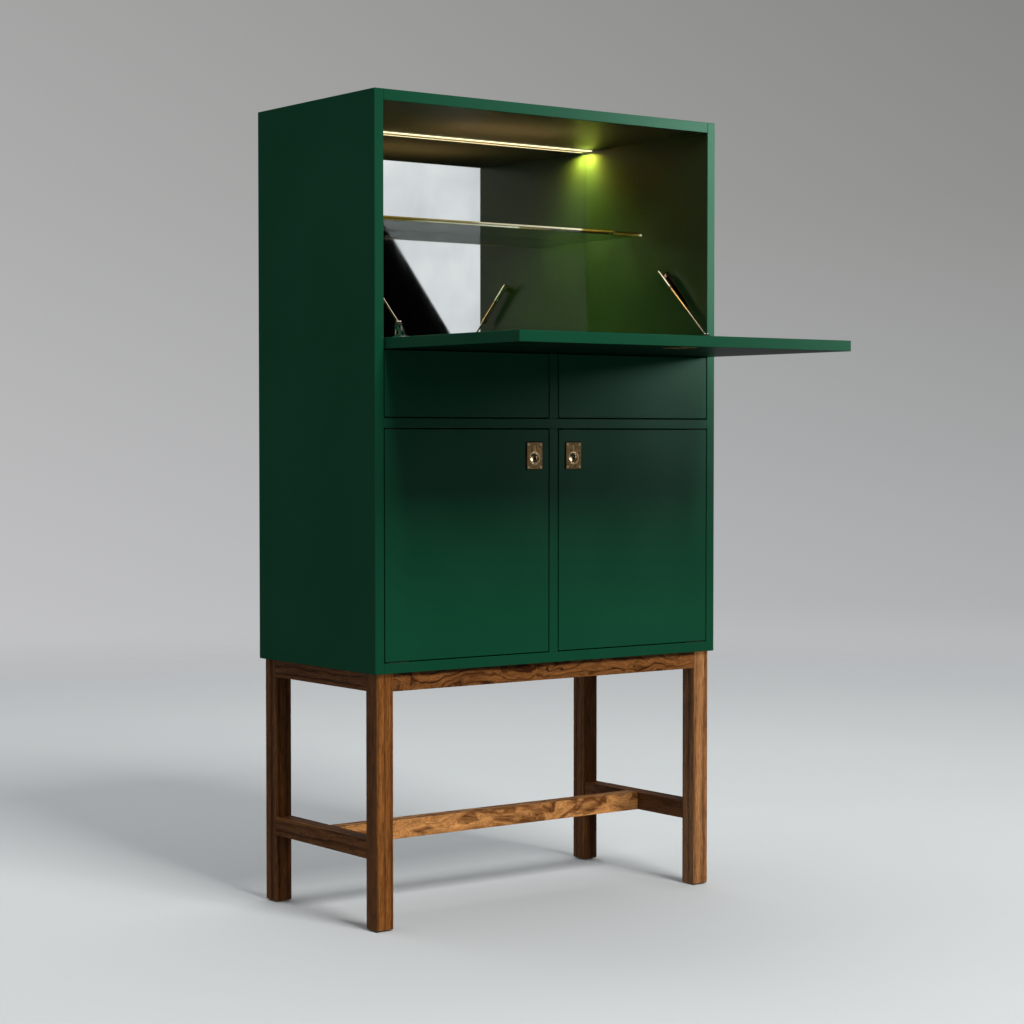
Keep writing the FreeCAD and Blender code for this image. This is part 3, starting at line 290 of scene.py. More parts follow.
# the white panel leans on its lower left corner, so the mirror shows a slanted border
PANEL_FOOT, PANEL_RIM = Vector((4.072, -5.330, 1.399)), Vector((3.746, -5.421, 1.923))
PANEL_LOW, PANEL_TOP, PANEL_LENGTH = 0.60, 2.60, 1.35
slant = (PANEL_RIM - PANEL_FOOT) / (PANEL_RIM.z - PANEL_FOOT.z)
sideways = Vector((PANEL_FOOT.x - PANEL_RIM.x, PANEL_FOOT.y - PANEL_RIM.y, 0)).normalized()
low_left = PANEL_FOOT + slant * (PANEL_LOW - PANEL_FOOT.z)
top_left = PANEL_FOOT + slant * (PANEL_TOP - PANEL_FOOT.z)
top_right = top_left + sideways * PANEL_LENGTH
corners = [low_left, Vector((top_right.x, top_right.y, PANEL_LOW)), top_right, top_left]
panel_mesh = bpy.data.meshes.new("white_panel")
panel_mesh.from_pydata(corners, [], [(0, 1, 2, 3)])
panel = bpy.data.objects.new("white_panel", panel_mesh)
bpy.context.scene.collection.objects.link(panel)
panel.visible_camera = False
panel.visible_diffuse = False
stay_pieces = [piece for name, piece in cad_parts.items() if name.startswith("stay_")]
light_only(panel, nodes("mirror", "glass_shelf") + stay_pieces)

material, tree = new_material("white_panel")
cloth = noise(tree, object_place(tree), 1.6, 4.0)
glow = mix(tree, spread(tree, cloth, 0.35, 0.65), (0.86, 0.88, 0.89), (0.56, 0.59, 0.61))
add(tree, "OutputMaterial", {"Surface": add(tree, "Emission", {"Color": glow, "Strength": 1.1}).outputs[0]})
panel.data.materials.append(material)


# ---------------------------------------------------------------- the walnut stand
# Four square legs, four aprons and three stretchers of solid walnut, joined with mortises and tenons and
# finished with oil. The grain runs along each piece, straight in the legs and figured in the long ones.

def effect(name, takes, gives):
    """A node group for a surface effect, with its ends: takes maps a name to its kind and starting value."""
    group = bpy.data.node_groups.new(name, "ShaderNodeTree")
    for label, (kind, start) in takes.items():
        socket = group.interface.new_socket(label, in_out="INPUT", socket_type="NodeSocket" + kind)
        if start is not None:
            socket.default_value = start
    for label, kind in gives.items():
        group.interface.new_socket(label, in_out="OUTPUT", socket_type="NodeSocket" + kind)
    return group, group.nodes.new("NodeGroupInput").outputs, group.nodes.new("NodeGroupOutput").inputs


def give(group, ends, **results):
    """Lead an effect's results out of its node group."""
    for name, result in results.items():
        group.links.new(result, ends[name])


def place_effect(tree, group, values):
    """An effect placed in a material with its own values."""
    node = tree.nodes.new("ShaderNodeGroup")
    node.node_tree = group
    for name, given in values.items():
        if isinstance(given, bpy.types.NodeSocket):
            tree.links.new(given, node.inputs[name])
        else:
            node.inputs[name].default_value = given
    return node.outputs


def vectors(tree, operation, first, second):
    """One sum with vectors."""
    return add(tree, "VectorMath", {0: first, 1: second}, operation=operation).outputs[0]


def scaled(tree, vector, by):
    """A vector made longer or shorter by a number."""
    return add(tree, "VectorMath", {0: vector, "Scale": by}, operation="SCALE").outputs[0]


def stretched(tree, where, by):
    """A place with each of its axes drawn out or pressed together."""
    return vectors(tree, "MULTIPLY", where, by)


MID_GREY = (0.5, 0.5, 0.5)
LEAN = 0.035

wood, taken, given = effect("wood_grain", {
    "Vector": ("Vector", None),
    "Light wood": ("Color", (0.3, 0.2, 0.1, 1)),
    "Dark wood": ("Color", (0.1, 0.05, 0.02, 1)),
    "Pith": ("Vector", (0, 0.06, 0.03)),
    "Rings": ("Float", 120.0),
    "Figure": ("Float", 0.01),
    "Knots": ("Float", 0.0),
    "Pores": ("Float", 0.6),
}, {"Color": "Color", "Roughness": "Float", "Height": "Float"})
where = taken["Vector"]
drift = noise(wood, stretched(wood, where, (3.2, 13.0, 13.0)), 1.0, 2.5, "Color", Roughness=0.5)
swirl = scaled(wood, vectors(wood, "SUBTRACT", drift, MID_GREY), taken["Figure"])
whorl = noise(wood, stretched(wood, where, (11.0, 19.0, 19.0)), 1.0, 2.0, "Color", Distortion=0.9)
burl = scaled(wood, vectors(wood, "SUBTRACT", whorl, MID_GREY), taken["Knots"])
bent = vectors(wood, "ADD", vectors(wood, "ADD", vectors(wood, "ADD", where, swirl), burl), taken["Pith"])
parts = split(wood, bent)
across = add(wood, "CombineXYZ", {"X": maths(wood, "MULTIPLY", parts["X"], LEAN), "Y": parts["Y"],
                                  "Z": parts["Z"]})
ring_count = maths(wood, "MULTIPLY", length(wood, across.outputs[0]), taken["Rings"])
wave = maths(wood, "SINE", maths(wood, "MULTIPLY", ring_count, math.tau))
ring = maths(wood, "POWER", spread(wood, wave, -1.0, 1.0), 4.0)
broad = noise(wood, stretched(wood, bent, (3.0, 40.0, 40.0)), 1.0, 3.0)
streak = noise(wood, stretched(wood, bent, (7.0, 190.0, 190.0)), 1.0, 3.0, Roughness=0.6)
fibre = noise(wood, stretched(wood, bent, (24.0, 620.0, 620.0)), 1.0, 2.0)
pore = noise(wood, stretched(wood, bent, (50.0, 1100.0, 1100.0)), 1.0, 1.0)
dash = maths(wood, "MULTIPLY", spread(wood, pore, 0.56, 0.66), taken["Pores"])
patches = maths(wood, "ADD", spread(wood, broad, 0.34, 0.68, 0.0, 0.48),
                spread(wood, streak, 0.36, 0.68, 0.0, 0.34))
depth = maths(wood, "ADD", maths(wood, "MULTIPLY", ring, 0.50), patches)
body_tone = mix(wood, depth, taken["Light wood"], taken["Dark wood"])
fibre_tone = ramp(wood, fibre, [(0.28, (0.62, 0.58, 0.54)), (0.72, (1.32, 1.30, 1.24))])
fibred = mix(wood, 1.0, body_tone, fibre_tone, "MULTIPLY")
dashed = mix(wood, dash, fibred, (0.012, 0.006, 0.003))
give(wood, given, Color=dashed, Roughness=spread(wood, fibre, 0.2, 0.8, 0.50, 0.38),
     Height=maths(wood, "SUBTRACT", maths(wood, "MULTIPLY", fibre, 0.4), dash))

# paler edges: rubbed wear on the metals; on the walnut and the lacquer, partly wear and partly a painted
# highlight
wear_and_highlight, taken, given = effect("edge_wear_and_highlight", {"Radius": ("Float", 0.0008), "Amount": ("Float", 0.5)},
                            {"Mask": "Float"})
rounded = add(wear_and_highlight, "Bevel", {"Radius": taken["Radius"]}, samples=4).outputs[0]
straight = add(wear_and_highlight, "NewGeometry").outputs["Normal"]
turned_away = spread(wear_and_highlight, dot(wear_and_highlight, rounded, straight), 0.995, 0.80)
patchy = noise(wear_and_highlight, object_place(wear_and_highlight), 130.0, 3.0)
rubbed = maths(wear_and_highlight, "MULTIPLY", turned_away, spread(wear_and_highlight, patchy, 0.3, 0.7, 0.35, 1.0))
give(wear_and_highlight, given, Mask=maths(wear_and_highlight, "MULTIPLY", rubbed, taken["Amount"]))


def finish_surface(tree, values, height=None, bump=0.2, relief=0.0002):
    """The shader of a material, with a bump where a height is given."""
    if height is not None:
        relieved = add(tree, "Bump", {"Height": height, "Strength": bump, "Distance": relief})
        values["Normal"] = relieved.outputs[0]
    shader = add(tree, "BsdfPrincipled", values)
    add(tree, "OutputMaterial", {"Surface": shader.outputs[0]})


def finish_nodes(material, *names):
    """Put a material on pieces that come ready made from the frame."""
    for piece in nodes(*names):
        for slot in piece.material_slots:
            slot.material = material


GRAIN_ALONG = {"x": (0, 0, 0), "y": (0, 0, math.radians(90)), "z": (0, math.radians(90), 0)}

# each is the light wood and the dark; the paler pairs of the front right leg and of the aprons are painted
# light, lit copies of the walnut for their fronts
WALNUT = ((0.215, 0.082, 0.0200), (0.074, 0.0250, 0.0064))
LIT_LEG_WALNUT = ((0.312, 0.150, 0.060), (0.122, 0.051, 0.0185))
LIT_APRON_WALNUT = ((0.390, 0.155, 0.044), (0.052, 0.0155, 0.0040))
STRETCHER_WALNUT = ((0.560, 0.266, 0.090), (0.091, 0.031, 0.0084))
# the paler edge colour, partly rubbed wear and partly a painted highlight on the arrises
RUBBED_AND_HIGHLIT_WALNUT = (0.34, 0.17, 0.070)


def walnut(name, along, shift, figure, rings, pith, knots=0.0, tones=WALNUT):
    """Oiled walnut with its grain along one axis."""
    light, dark = tones
    material, tree = new_material(name)
    turned = add(tree, "Mapping", {"Vector": object_place(tree), "Rotation": GRAIN_ALONG[along],
                                   "Location": shift}).outputs[0]
    grain = place_effect(tree, wood, {"Vector": turned, "Light wood": (*light, 1), "Dark wood": (*dark, 1),
                                      "Pith": pith, "Rings": rings, "Figure": figure, "Knots": knots,
                                      "Pores": 0.60})
    # the paler edges are partly rubbed wear and partly a painted highlight
    worn = place_effect(tree, wear_and_highlight, {"Radius": 0.0015, "Amount": 0.35})["Mask"]
    colour = mix(tree, worn, grain["Color"], RUBBED_AND_HIGHLIT_WALNUT)
    finish_surface(tree, {"Base Color": colour, "Roughness": grain["Roughness"], "Specular IOR Level": 0.30},
                   grain["Height"], bump=0.5, relief=0.00012)
    return material


for index, name in enumerate(("leg_front_left", "leg_front_right", "leg_back_left", "leg_back_right")):
    # the front right leg takes the painted lit copy of the walnut
    tones = LIT_LEG_WALNUT if name == "leg_front_right" else WALNUT
    finish_nodes(walnut(name + "_walnut", "z", shift=(0.3 * index, 0.011 * index, 0.017 * index),
                        figure=0.010, rings=70.0, pith=(0.0, 0.10, 0.45), knots=0.004, tones=tones), name)
for index, name in enumerate(("apron_front", "apron_back")):
    finish_nodes(walnut(name + "_walnut", "x", shift=(0.7 * index, 0.013 * index, 0.0), figure=0.030,
                        rings=62.0, pith=(0.0, 0.03, -0.38), knots=0.075, tones=LIT_APRON_WALNUT), name)
finish_nodes(walnut("stretcher_centre_walnut", "x", shift=(1.4, 0.026, 0.0), figure=0.030, rings=44.0,
                    pith=(0.0, 0.03, -0.10), knots=0.055, tones=STRETCHER_WALNUT), "stretcher_centre")
for index, name in enumerate(("apron_left", "apron_right", "stretcher_left", "stretcher_right")):
    finish_nodes(walnut(name + "_walnut", "y", shift=(0.5 * index, 0.0, 0.02 * index), figure=0.014,
                        rings=80.0, pith=(0.0, 0.30, -0.30), knots=0.010), name)


# ---------------------------------------------------------------- the stand's hidden parts
# Square nylon glides under the legs, and two walnut cleats inside the long aprons. Wood screws go up through
# the cleats into the case, which keeps it on the stand.

film, taken, given = effect("moulded_skin", {
    "Vector": ("Vector", None),
    "Colour": ("Color", (0.1, 0.1, 0.1, 1)),
    "Dust": ("Float", 0.1),
}, {"Color": "Color", "Roughness": "Float", "Height": "Float"})
stipple = noise(film, taken["Vector"], 2200.0, 2.0)
settled = noise(film, taken["Vector"], 45.0, 4.0)
dusty = maths(film, "MULTIPLY", spread(film, settled, 0.42, 0.72), taken["Dust"])
give(film, given, Color=mix(film, dusty, taken["Colour"], (0.32, 0.31, 0.29)),
     Roughness=spread(film, settled, 0.3, 0.7, 0.42, 0.62), Height=stipple)


def moulded(name, colour, dust):
    """Plastic with the fine stipple of its mould, and some dust."""
    material, tree = new_material(name)
    skin = place_effect(tree, film, {"Vector": object_place(tree), "Colour": (*colour, 1), "Dust": dust})
    finish_surface(tree, {"Base Color": skin["Color"], "Roughness": skin["Roughness"]}, skin["Height"],
                   bump=0.25, relief=0.0001)
    return material


finish_nodes(moulded("glide_nylon", colour=(0.018, 0.018, 0.019), dust=0.25), "foot_glides")
finish_nodes(walnut("cleat_walnut", "x", shift=(1.9, 0.02, 0.0), figure=0.01, rings=180.0,
                    pith=(0.0, 0.2, 0.2)), "case_cleats")

metal, taken, given = effect("metal_skin", {
    "Vector": ("Vector", None),
    "Bright": ("Color", (0.8, 0.6, 0.3, 1)),
    "Patina": ("Color", (0.2, 0.12, 0.05, 1)),
    "Mottle scale": ("Float", 220.0),
    "Age": ("Float", 0.5),
    "Brushing": ("Vector", (1.0, 1.0, 1.0)),
    "Smoothest": ("Float", 0.2),
    "Roughest": ("Float", 0.45),
    "Tarnished": ("Float", 0.45),
}, {"Color": "Color", "Roughness": "Float", "Metallic": "Float", "Height": "Float"})
mottle = noise(metal, taken["Vector"], taken["Mottle scale"], 5.0, Roughness=0.68)
pits = noise(metal, taken["Vector"], 1900.0, 2.0)
strokes = noise(metal, stretched(metal, taken["Vector"], taken["Brushing"]), 420.0, 2.0)
aged = maths(metal, "MULTIPLY", spread(metal, mottle, 0.36, 0.66), taken["Age"])
uneven = maths(metal, "ADD", maths(metal, "MULTIPLY", aged, 0.7), maths(metal, "MULTIPLY", strokes, 0.5))
give(metal, given, Color=mix(metal, aged, taken["Bright"], taken["Patina"]),
     Roughness=spread(metal, uneven, 0.1, 0.9, taken["Smoothest"], taken["Roughest"]),
     Metallic=spread(metal, aged, 0.0, 1.0, 1.0, taken["Tarnished"]),
     Height=maths(metal, "ADD", maths(metal, "MULTIPLY", strokes, 0.6), maths(metal, "MULTIPLY", pits, 0.4)))


def metalwork(name, bright, patina, age, smoothest, roughest, brushing=(1, 1, 1), mottle=220.0, worn=0.5,
              bump=0.25, tarnish=0.45):
    """Metal with a patina in patches, fine strokes of its last polish, and brighter rubbed edges."""
    material, tree = new_material(name)
    skin = place_effect(tree, metal, {"Vector": object_place(tree), "Bright": (*bright, 1),
                                      "Patina": (*patina, 1), "Age": age, "Mottle scale": mottle,
                                      "Brushing": brushing, "Smoothest": smoothest, "Roughest": roughest,
                                      "Tarnished": tarnish})
    edges = place_effect(tree, wear_and_highlight, {"Radius": 0.0005, "Amount": worn})["Mask"]
    colour = mix(tree, edges, skin["Color"], tuple(min(1.0, 1.15 * level) for level in bright))
    finish_surface(tree, {"Base Color": colour, "Metallic": skin["Metallic"] if tarnish < 1 else 1.0,
                          "Roughness": skin["Roughness"]}, skin["Height"], bump, relief=0.00004)
    return material


zinc = metalwork("zinc_plate", (0.62, 0.63, 0.64), (0.42, 0.43, 0.42), age=0.5, smoothest=0.22, roughest=0.42,
                 mottle=90.0)

# a screw head's measures, as shares of its radius or of its height, and how far it is sunk
SLOT_HALF, HEAD_FLAT, SLOT_REACH, SLOT_BED = 0.16, 0.90, 0.93, 0.25
HEAD_STEPS = 10
SUNK = 0.0002


def slotted_heads(name, heads, body, material):
    """Countersunk screw heads on a surface: each is (centre, outward direction, radius, height above it)."""
    mesh = bmesh.new()
    chance = random.Random(name)
    for centre, outward, radius, rise in heads:
        groove = SLOT_HALF * radius
        start = len(mesh.verts)
        for side in (1, -1):
            first = math.asin(groove / radius)
            turns = [first + (math.pi - 2 * first) * step / HEAD_STEPS for step in range(HEAD_STEPS + 1)]
            lower = [mesh.verts.new((radius * math.cos(t), side * radius * math.sin(t), 0)) for t in turns]
            upper = [mesh.verts.new((HEAD_FLAT * radius * math.cos(t),
                                     side * max(groove, HEAD_FLAT * radius * math.sin(t)), rise))
                     for t in turns]
            under = [mesh.verts.new((v.co.x, v.co.y, -SUNK)) for v in lower]
            faces = [upper, under[::-1]]
            for index in range(len(turns)):
                after = (index + 1) % len(turns)
                faces.append((lower[index], lower[after], upper[after], upper[index]))
                faces.append((under[index], under[after], lower[after], lower[index]))
            for corners in faces:
                mesh.faces.new(corners if side > 0 else corners[::-1])
        bed = [mesh.verts.new((sx * SLOT_REACH * radius, sy * groove, z)) for z in (-SUNK, SLOT_BED * rise)
               for sx, sy in ((1, 1), (-1, 1), (-1, -1), (1, -1))]
        for corners in ((3, 2, 1, 0), (4, 5, 6, 7), (0, 1, 5, 4), (2, 3, 7, 6), (1, 2, 6, 5), (3, 0, 4, 7)):
            mesh.faces.new([bed[corner] for corner in corners])
        turn = Matrix.Rotation(chance.uniform(0, math.pi), 4, "Z")
        facing = Vector(outward).to_track_quat("Z", "Y").to_matrix().to_4x4()
        move = Matrix.Translation(centre) @ facing @ turn
        for vertex in list(mesh.verts)[start:]:
            vertex.co = move @ vertex.co
    bmesh.ops.recalc_face_normals(mesh, faces=mesh.faces)
    return finish_piece(name, mesh, body, material)


def finish_piece(name, mesh, body, material):
    """Turn a mesh into a piece that rides on one body of the frame."""
    data = bpy.data.meshes.new(name)
    mesh.to_mesh(data)
    mesh.free()
    data.materials.append(material)
    piece = bpy.data.objects.new(name, data)
    bpy.context.scene.collection.objects.link(piece)
    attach(piece, body)
    return piece


CLEAT_SCREW_IN = 0.010
cleat_low, cleat_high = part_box("case_cleats")
slotted_heads("cleat_screws", [
    (Vector((x, y, cleat_low.z)), (0, 0, -1), 0.0042, 0.0006)
    for x in (-0.28, 0.0, 0.28) for y in (cleat_low.y + CLEAT_SCREW_IN, cleat_high.y - CLEAT_SCREW_IN)
], "case", zinc)


# ---------------------------------------------------------------- the lacquered case
# Side panels, top, bottom, shelves and dividers of board, sprayed a deep green and rubbed to a satin, with
# softened edges. The back panel stands in grooves and is screwed on from behind.

coat, taken, given = effect("sprayed_coat", {
    "Vector": ("Vector", None),
    "Colour": ("Color", (0.01, 0.1, 0.05, 1)),
    "Sheen": ("Float", 0.36),
}, {"Color": "Color", "Roughness": "Float", "Height": "Float"})
cloudy = noise(coat, taken["Vector"], 5.0, 4.0)
peel = noise(coat, taken["Vector"], 330.0, 2.0)
specks = noise(coat, taken["Vector"], 2600.0, 1.0)
cloud_tone = ramp(coat, cloudy, [(0.3, (0.93, 0.94, 0.93)), (0.7, (1.06, 1.05, 1.06))])
satin = maths(coat, "ADD", taken["Sheen"], spread(coat, cloudy, 0.3, 0.7, -0.03, 0.03))
give(coat, given, Color=mix(coat, 1.0, taken["Colour"], cloud_tone, "MULTIPLY"),
     Roughness=maths(coat, "ADD", satin, spread(coat, specks, 0.3, 0.7, -0.01, 0.01)),
     Height=maths(coat, "ADD", peel, maths(coat, "MULTIPLY", specks, 0.15)))

GREEN = (0.0052, 0.0720, 0.0330)
# the paler edge colour, partly rubbed wear and partly a painted highlight
RUBBED_AND_HIGHLIT_GREEN = tuple(2.2 * level for level in GREEN)
# painted light: the olive tones of the bar compartment's faces and ceiling stand for the strip's warm light
# on the green
WARM_LIT_OLIVE = (0.0175, 0.0480, 0.0150)
WARM_LIT_CEILING_OLIVE = (0.0190, 0.0340, 0.0125)
PLATE_SHADOW_TONE = (0.0004, 0.0012, 0.0010)
HAIR = 0.0001
side_low, side_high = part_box("side_left")
bar_ceiling, bar_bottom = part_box("top_panel")[0].z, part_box("bar_floor")[1].z
bar_half, bar_front, bar_back = -side_high.x, side_low.y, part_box("mirror")[1].y + 0.0004

# how far the painted shadow line round a door's pull plate shows past it, wider at its left and top
PLATE_SHADOW_LEFT, PLATE_SHADOW_RIGHT, PLATE_SHADOW_BELOW, PLATE_SHADOW_ABOVE = 0.0026, 0.0009, 0.0007, 0.0022


def within(tree, given, low, high, soft=0.0002):
    """One between two places and none outside them."""
    return maths(tree, "MULTIPLY", spread(tree, given, low - soft, low),
                 spread(tree, given, high + soft, high))


def lacquer(name, inner=WARM_LIT_OLIVE):
    """Sprayed green; the faces in the bar compartment are painted olive, for the strip's warm light on them.
    """
    material, tree = new_material(name)
    place = object_place(tree)
    skin = place_effect(tree, coat, {"Vector": place, "Colour": (*GREEN, 1), "Sheen": 0.33})
    parts = split(tree, place)
    # the faces in the bar compartment, painted olive for the strip's warm light
    inside = maths(tree, "MULTIPLY", within(tree, parts["X"], -bar_half - HAIR, bar_half + HAIR),
                   within(tree, parts["Z"], bar_bottom - HAIR, bar_ceiling + HAIR))
    inside = maths(tree, "MULTIPLY", inside, within(tree, parts["Y"], bar_front + 0.0010, bar_back))
    # the paler edges are partly rubbed wear and partly a painted highlight
    edges = place_effect(tree, wear_and_highlight, {"Radius": 0.0006, "Amount": 0.16})["Mask"]
    paint = mix(tree, edges, skin["Color"], RUBBED_AND_HIGHLIT_GREEN)
    # a painted shadow line round each door's pull plate
    for plate in ("door_left_pull_plate", "door_right_pull_plate"):
        low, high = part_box(plate)
        plate_shadow = maths(tree, "MULTIPLY", within(tree, parts["X"], low.x - PLATE_SHADOW_LEFT, high.x + PLATE_SHADOW_RIGHT),
                     within(tree, parts["Z"], low.z - PLATE_SHADOW_BELOW, high.z + PLATE_SHADOW_ABOVE))
        plate_shadow = maths(tree, "MULTIPLY", plate_shadow, spread(tree, parts["Y"], high.y + 0.0010, high.y + 0.0002))
        paint = mix(tree, plate_shadow, paint, PLATE_SHADOW_TONE)
    finish_surface(tree, {"Base Color": mix(tree, inside, paint, inner), "Roughness": skin["Roughness"],
                          "Specular IOR Level": 0.40}, skin["Height"], bump=0.12, relief=0.00006)
    return material


finish_nodes(lacquer("green_lacquer"), *LACQUERED)
finish_nodes(lacquer("top_lacquer", WARM_LIT_CEILING_OLIVE), "top_panel")

BACK_ROWS, BACK_COLUMNS = (0.500, 1.462), (-0.366, 0.366)
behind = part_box("back_panel")[1].y
slotted_heads("back_panel_screws", [
    (Vector((x, behind, z)), (0, 1, 0), 0.0035, 0.0006)
    for x, z in [(-0.33 + 0.132 * step, z) for step in range(6) for z in BACK_ROWS]
    + [(x, 0.66 + 0.16 * step) for step in range(5) for x in BACK_COLUMNS]
], "case", zinc)


# ---------------------------------------------------------------- the mirror
# Silvered float glass over the whole back of the bar compartment. It stands on the compartment's floor, flat
# against the back panel, with a hair of room at its ends and top.

smears, taken, given = effect("wiped_glass", {"Vector": ("Vector", None), "Amount": ("Float", 0.5)},
                              {"Mask": "Float"})
wiped = noise(smears, stretched(smears, taken["Vector"], (5.0, 5.0, 1.4)), 4.0, 5.0, Distortion=1.2)
lint = noise(smears, taken["Vector"], 700.0, 2.0)
smeared = maths(smears, "ADD", spread(smears, wiped, 0.45, 0.75), spread(smears, lint, 0.68, 0.80, 0.0, 0.5))
give(smears, given, Mask=maths(smears, "MULTIPLY", smeared, taken["Amount"]))

material, tree = new_material("silvered_glass")
film_mask = place_effect(tree, smears, {"Vector": object_place(tree), "Amount": 1.0})["Mask"]
finish_surface(tree, {
    "Base Color": mix(tree, film_mask, (0.83, 0.85, 0.84), (0.81, 0.83, 0.82)),
    "Metallic": 1.0,
    "Roughness": spread(tree, film_mask, 0.0, 1.0, 0.014, 0.022),
})
finish_nodes(material, "mirror")


# ---------------------------------------------------------------- the glass shelf
# Eight millimetre clear glass with polished edges, its ends let into the side panels. The strip's light shows
# along the upper part of its front edge.

# painted light: the strip's light along the glass's front edge is painted on as emission of the glass itself
EDGE_GLOW = [(0.000, (0.10, 0.070, 0.010)), (0.180, (0.16, 0.115, 0.016)), (0.440, (0.22, 0.165, 0.03)),
             (0.475, (0.46, 0.42, 0.27)), (0.640, (0.60, 0.56, 0.38)), (0.790, (0.86, 0.82, 0.60)),
             (0.798, (0.24, 0.175, 0.014)), (0.890, (0.16, 0.105, 0.010)), (0.905, (0.010, 0.007, 0.002)),
             (1.000, (0.022, 0.015, 0.003))]

material, tree = new_material("shelf_glass")
place = object_place(tree)
film_mask = place_effect(tree, smears, {"Vector": place, "Amount": 1.0})["Mask"]
shelf_low, shelf_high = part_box("glass_shelf")
parts = split(tree, place)
edge = maths(tree, "MULTIPLY", spread(tree, parts["Y"], shelf_low.y + 0.0009, shelf_low.y + 0.0004),
             spread(tree, parts["Z"], shelf_low.z + 0.0042, shelf_low.z + 0.0058, 0.02, 1.0))
share = spread(tree, parts["X"], shelf_low.x, shelf_high.x)
finish_surface(tree, {
    "Base Color": mix(tree, film_mask, (0.80, 0.86, 0.82), (0.76, 0.82, 0.78)),
    "Metallic": 0.0,
    "Transmission Weight": 1.0,
    "IOR": 1.5,
    "Roughness": spread(tree, film_mask, 0.0, 1.0, 0.0, 0.04),
    "Emission Color": mix(tree, edge, (0, 0, 0), ramp(tree, share, EDGE_GLOW)),
    "Emission Strength": 1.0,
})
finish_nodes(material, "glass_shelf")


# ---------------------------------------------------------------- the light
# An aluminium profile let into the underside of the top, next to the mirror, with a warm strip of diodes
# behind an opal diffuser.

finish_nodes(metalwork("anodised_aluminium", (0.78, 0.78, 0.78), (0.60, 0.60, 0.60), age=0.4, smoothest=0.25,
                       roughest=0.38, brushing=(0.02, 1.0, 1.0)), "led_profile")

DIODES_PER_METRE = 120
strip_low, strip_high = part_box("led_diffuser")

material, tree = new_material("opal_diffuser")
place = object_place(tree)
parts = split(tree, place)
spots = maths(tree, "SINE", maths(tree, "MULTIPLY", parts["X"], math.tau * DIODES_PER_METRE))
lens = spread(tree, parts["Y"], strip_low.y + 0.0085, strip_low.y + 0.0070)
skin = place_effect(tree, film, {"Vector": place, "Colour": (0.85, 0.82, 0.70, 1), "Dust": 0.05})
diodes = mix(tree, spread(tree, spots, -1.0, 1.0), (1.0, 0.86, 0.48), (1.0, 0.92, 0.58))
finish_surface(tree, {
    "Base Color": skin["Color"],
    "Roughness": skin["Roughness"],
    "Emission Color": mix(tree, lens, (0.020, 0.010, 0.002), diodes),
    "Emission Strength": 1.5,
}, skin["Height"], bump=0.1, relief=0.0001)
finish_nodes(material, "led_diffuser")

# the strip's light goes through the clear glass shelf, and the last lamp stands for light thrown back up
STRIP_WIDTH = 0.012
lamp_level = strip_low.z - 0.0008
strip = (strip_low + strip_high) / 2
strip_lamp = {"place": (strip.x, strip.y, lamp_level), "aim": (strip.x, strip.y, 0.0),
              "size": (strip_high.x - strip_low.x - 0.004, STRIP_WIDTH)}
all_but_glass = [piece for name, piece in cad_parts.items() if name != "glass_shelf"]
lamp("strip_lamp", **strip_lamp, watts=2.2, colour=(0.88, 0.88, 0.42), angle=116, matt_only=True,
     shades=all_but_glass)
lamp("strip_end", place=(strip_high.x - 0.020, strip.y - 0.004, lamp_level),
     aim=(strip_high.x - 0.010, strip.y - 0.010, 1.0), size=(0.030, STRIP_WIDTH), watts=1.12,
     colour=(1.0, 0.46, 0.11), angle=158, matt_only=True, lights=nodes("side_right"), shades=all_but_glass)
lamp("strip_sheen", **strip_lamp, watts=1.1, colour=(1.0, 0.42, 0.10), angle=110, gloss_only=True)
lamp("ceiling_glow", place=(0.04, 0.20, 1.38), aim=(0.04, 0.20, 1.48), size=(0.30, 0.12), watts=1.4,
     colour=(1.0, 0.36, 0.32), matt_only=True, lights=nodes("top_panel"))


# ---------------------------------------------------------------- the flap and its hinges
# A lacquered panel on two flush hinges of brass, whose leaves are let in level with the wood and held by
# three slotted screws each.

HINGE_FROM_MIDDLE, HINGE_AXIS_Y = 0.250, 0.01825
LEAF_SCREWS = ((-0.018, 0.014), (0, 0.020), (0.018, 0.014))

hinge_brass = metalwork("hinge_brass", (0.20, 0.145, 0.075), (0.060, 0.042, 0.022), age=0.9, smoothest=0.30,
                        roughest=0.50, brushing=(1.0, 0.1, 1.0))
finish_nodes(hinge_brass, "flap_hinge_floor_leaves", "flap_hinge_flap_leaves")
for node, body, sign in (("flap_hinge_floor_leaves", "case", 1), ("flap_hinge_flap_leaves", "flap", -1)):
    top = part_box("bar_floor")[1].z
    slotted_heads(node.replace("leaves", "screws"), [
        (Vector((middle_x + step, HINGE_AXIS_Y + sign * reach, top)), (0, 0, 1), 0.0031, 0.0003)
        for middle_x in (-HINGE_FROM_MIDDLE, HINGE_FROM_MIDDLE) for step, reach in LEAF_SCREWS
    ], body, hinge_brass)


# ---------------------------------------------------------------- the flush ring pulls
# A cast brass plate with a dished finger bowl, held by four slotted screws. A square section ring lies in a
# well round the bowl, and lifts on a bar behind the plate.

pull_brass = metalwork("pull_brass", (0.66, 0.50, 0.26), (0.17, 0.105, 0.045), age=1.0, smoothest=0.32,
                       roughest=0.50, mottle=420.0, worn=0.9, bump=0.20)
ring_brass = metalwork("ring_brass", (0.86, 0.70, 0.46), (0.50, 0.38, 0.22), age=0.5, smoothest=0.24,
                       roughest=0.38, mottle=200.0, worn=0.9, bump=0.08)
dish_brass = metalwork("dish_brass", (0.94, 0.86, 0.70), (0.66, 0.54, 0.38), age=0.4, smoothest=0.24,
                       roughest=0.32, mottle=60.0, worn=0.2, bump=0.05)
screw_brass = metalwork("screw_brass", (0.92, 0.74, 0.50), (0.52, 0.39, 0.22), age=0.5, smoothest=0.26,
                        roughest=0.40, mottle=300.0, bump=0.08)

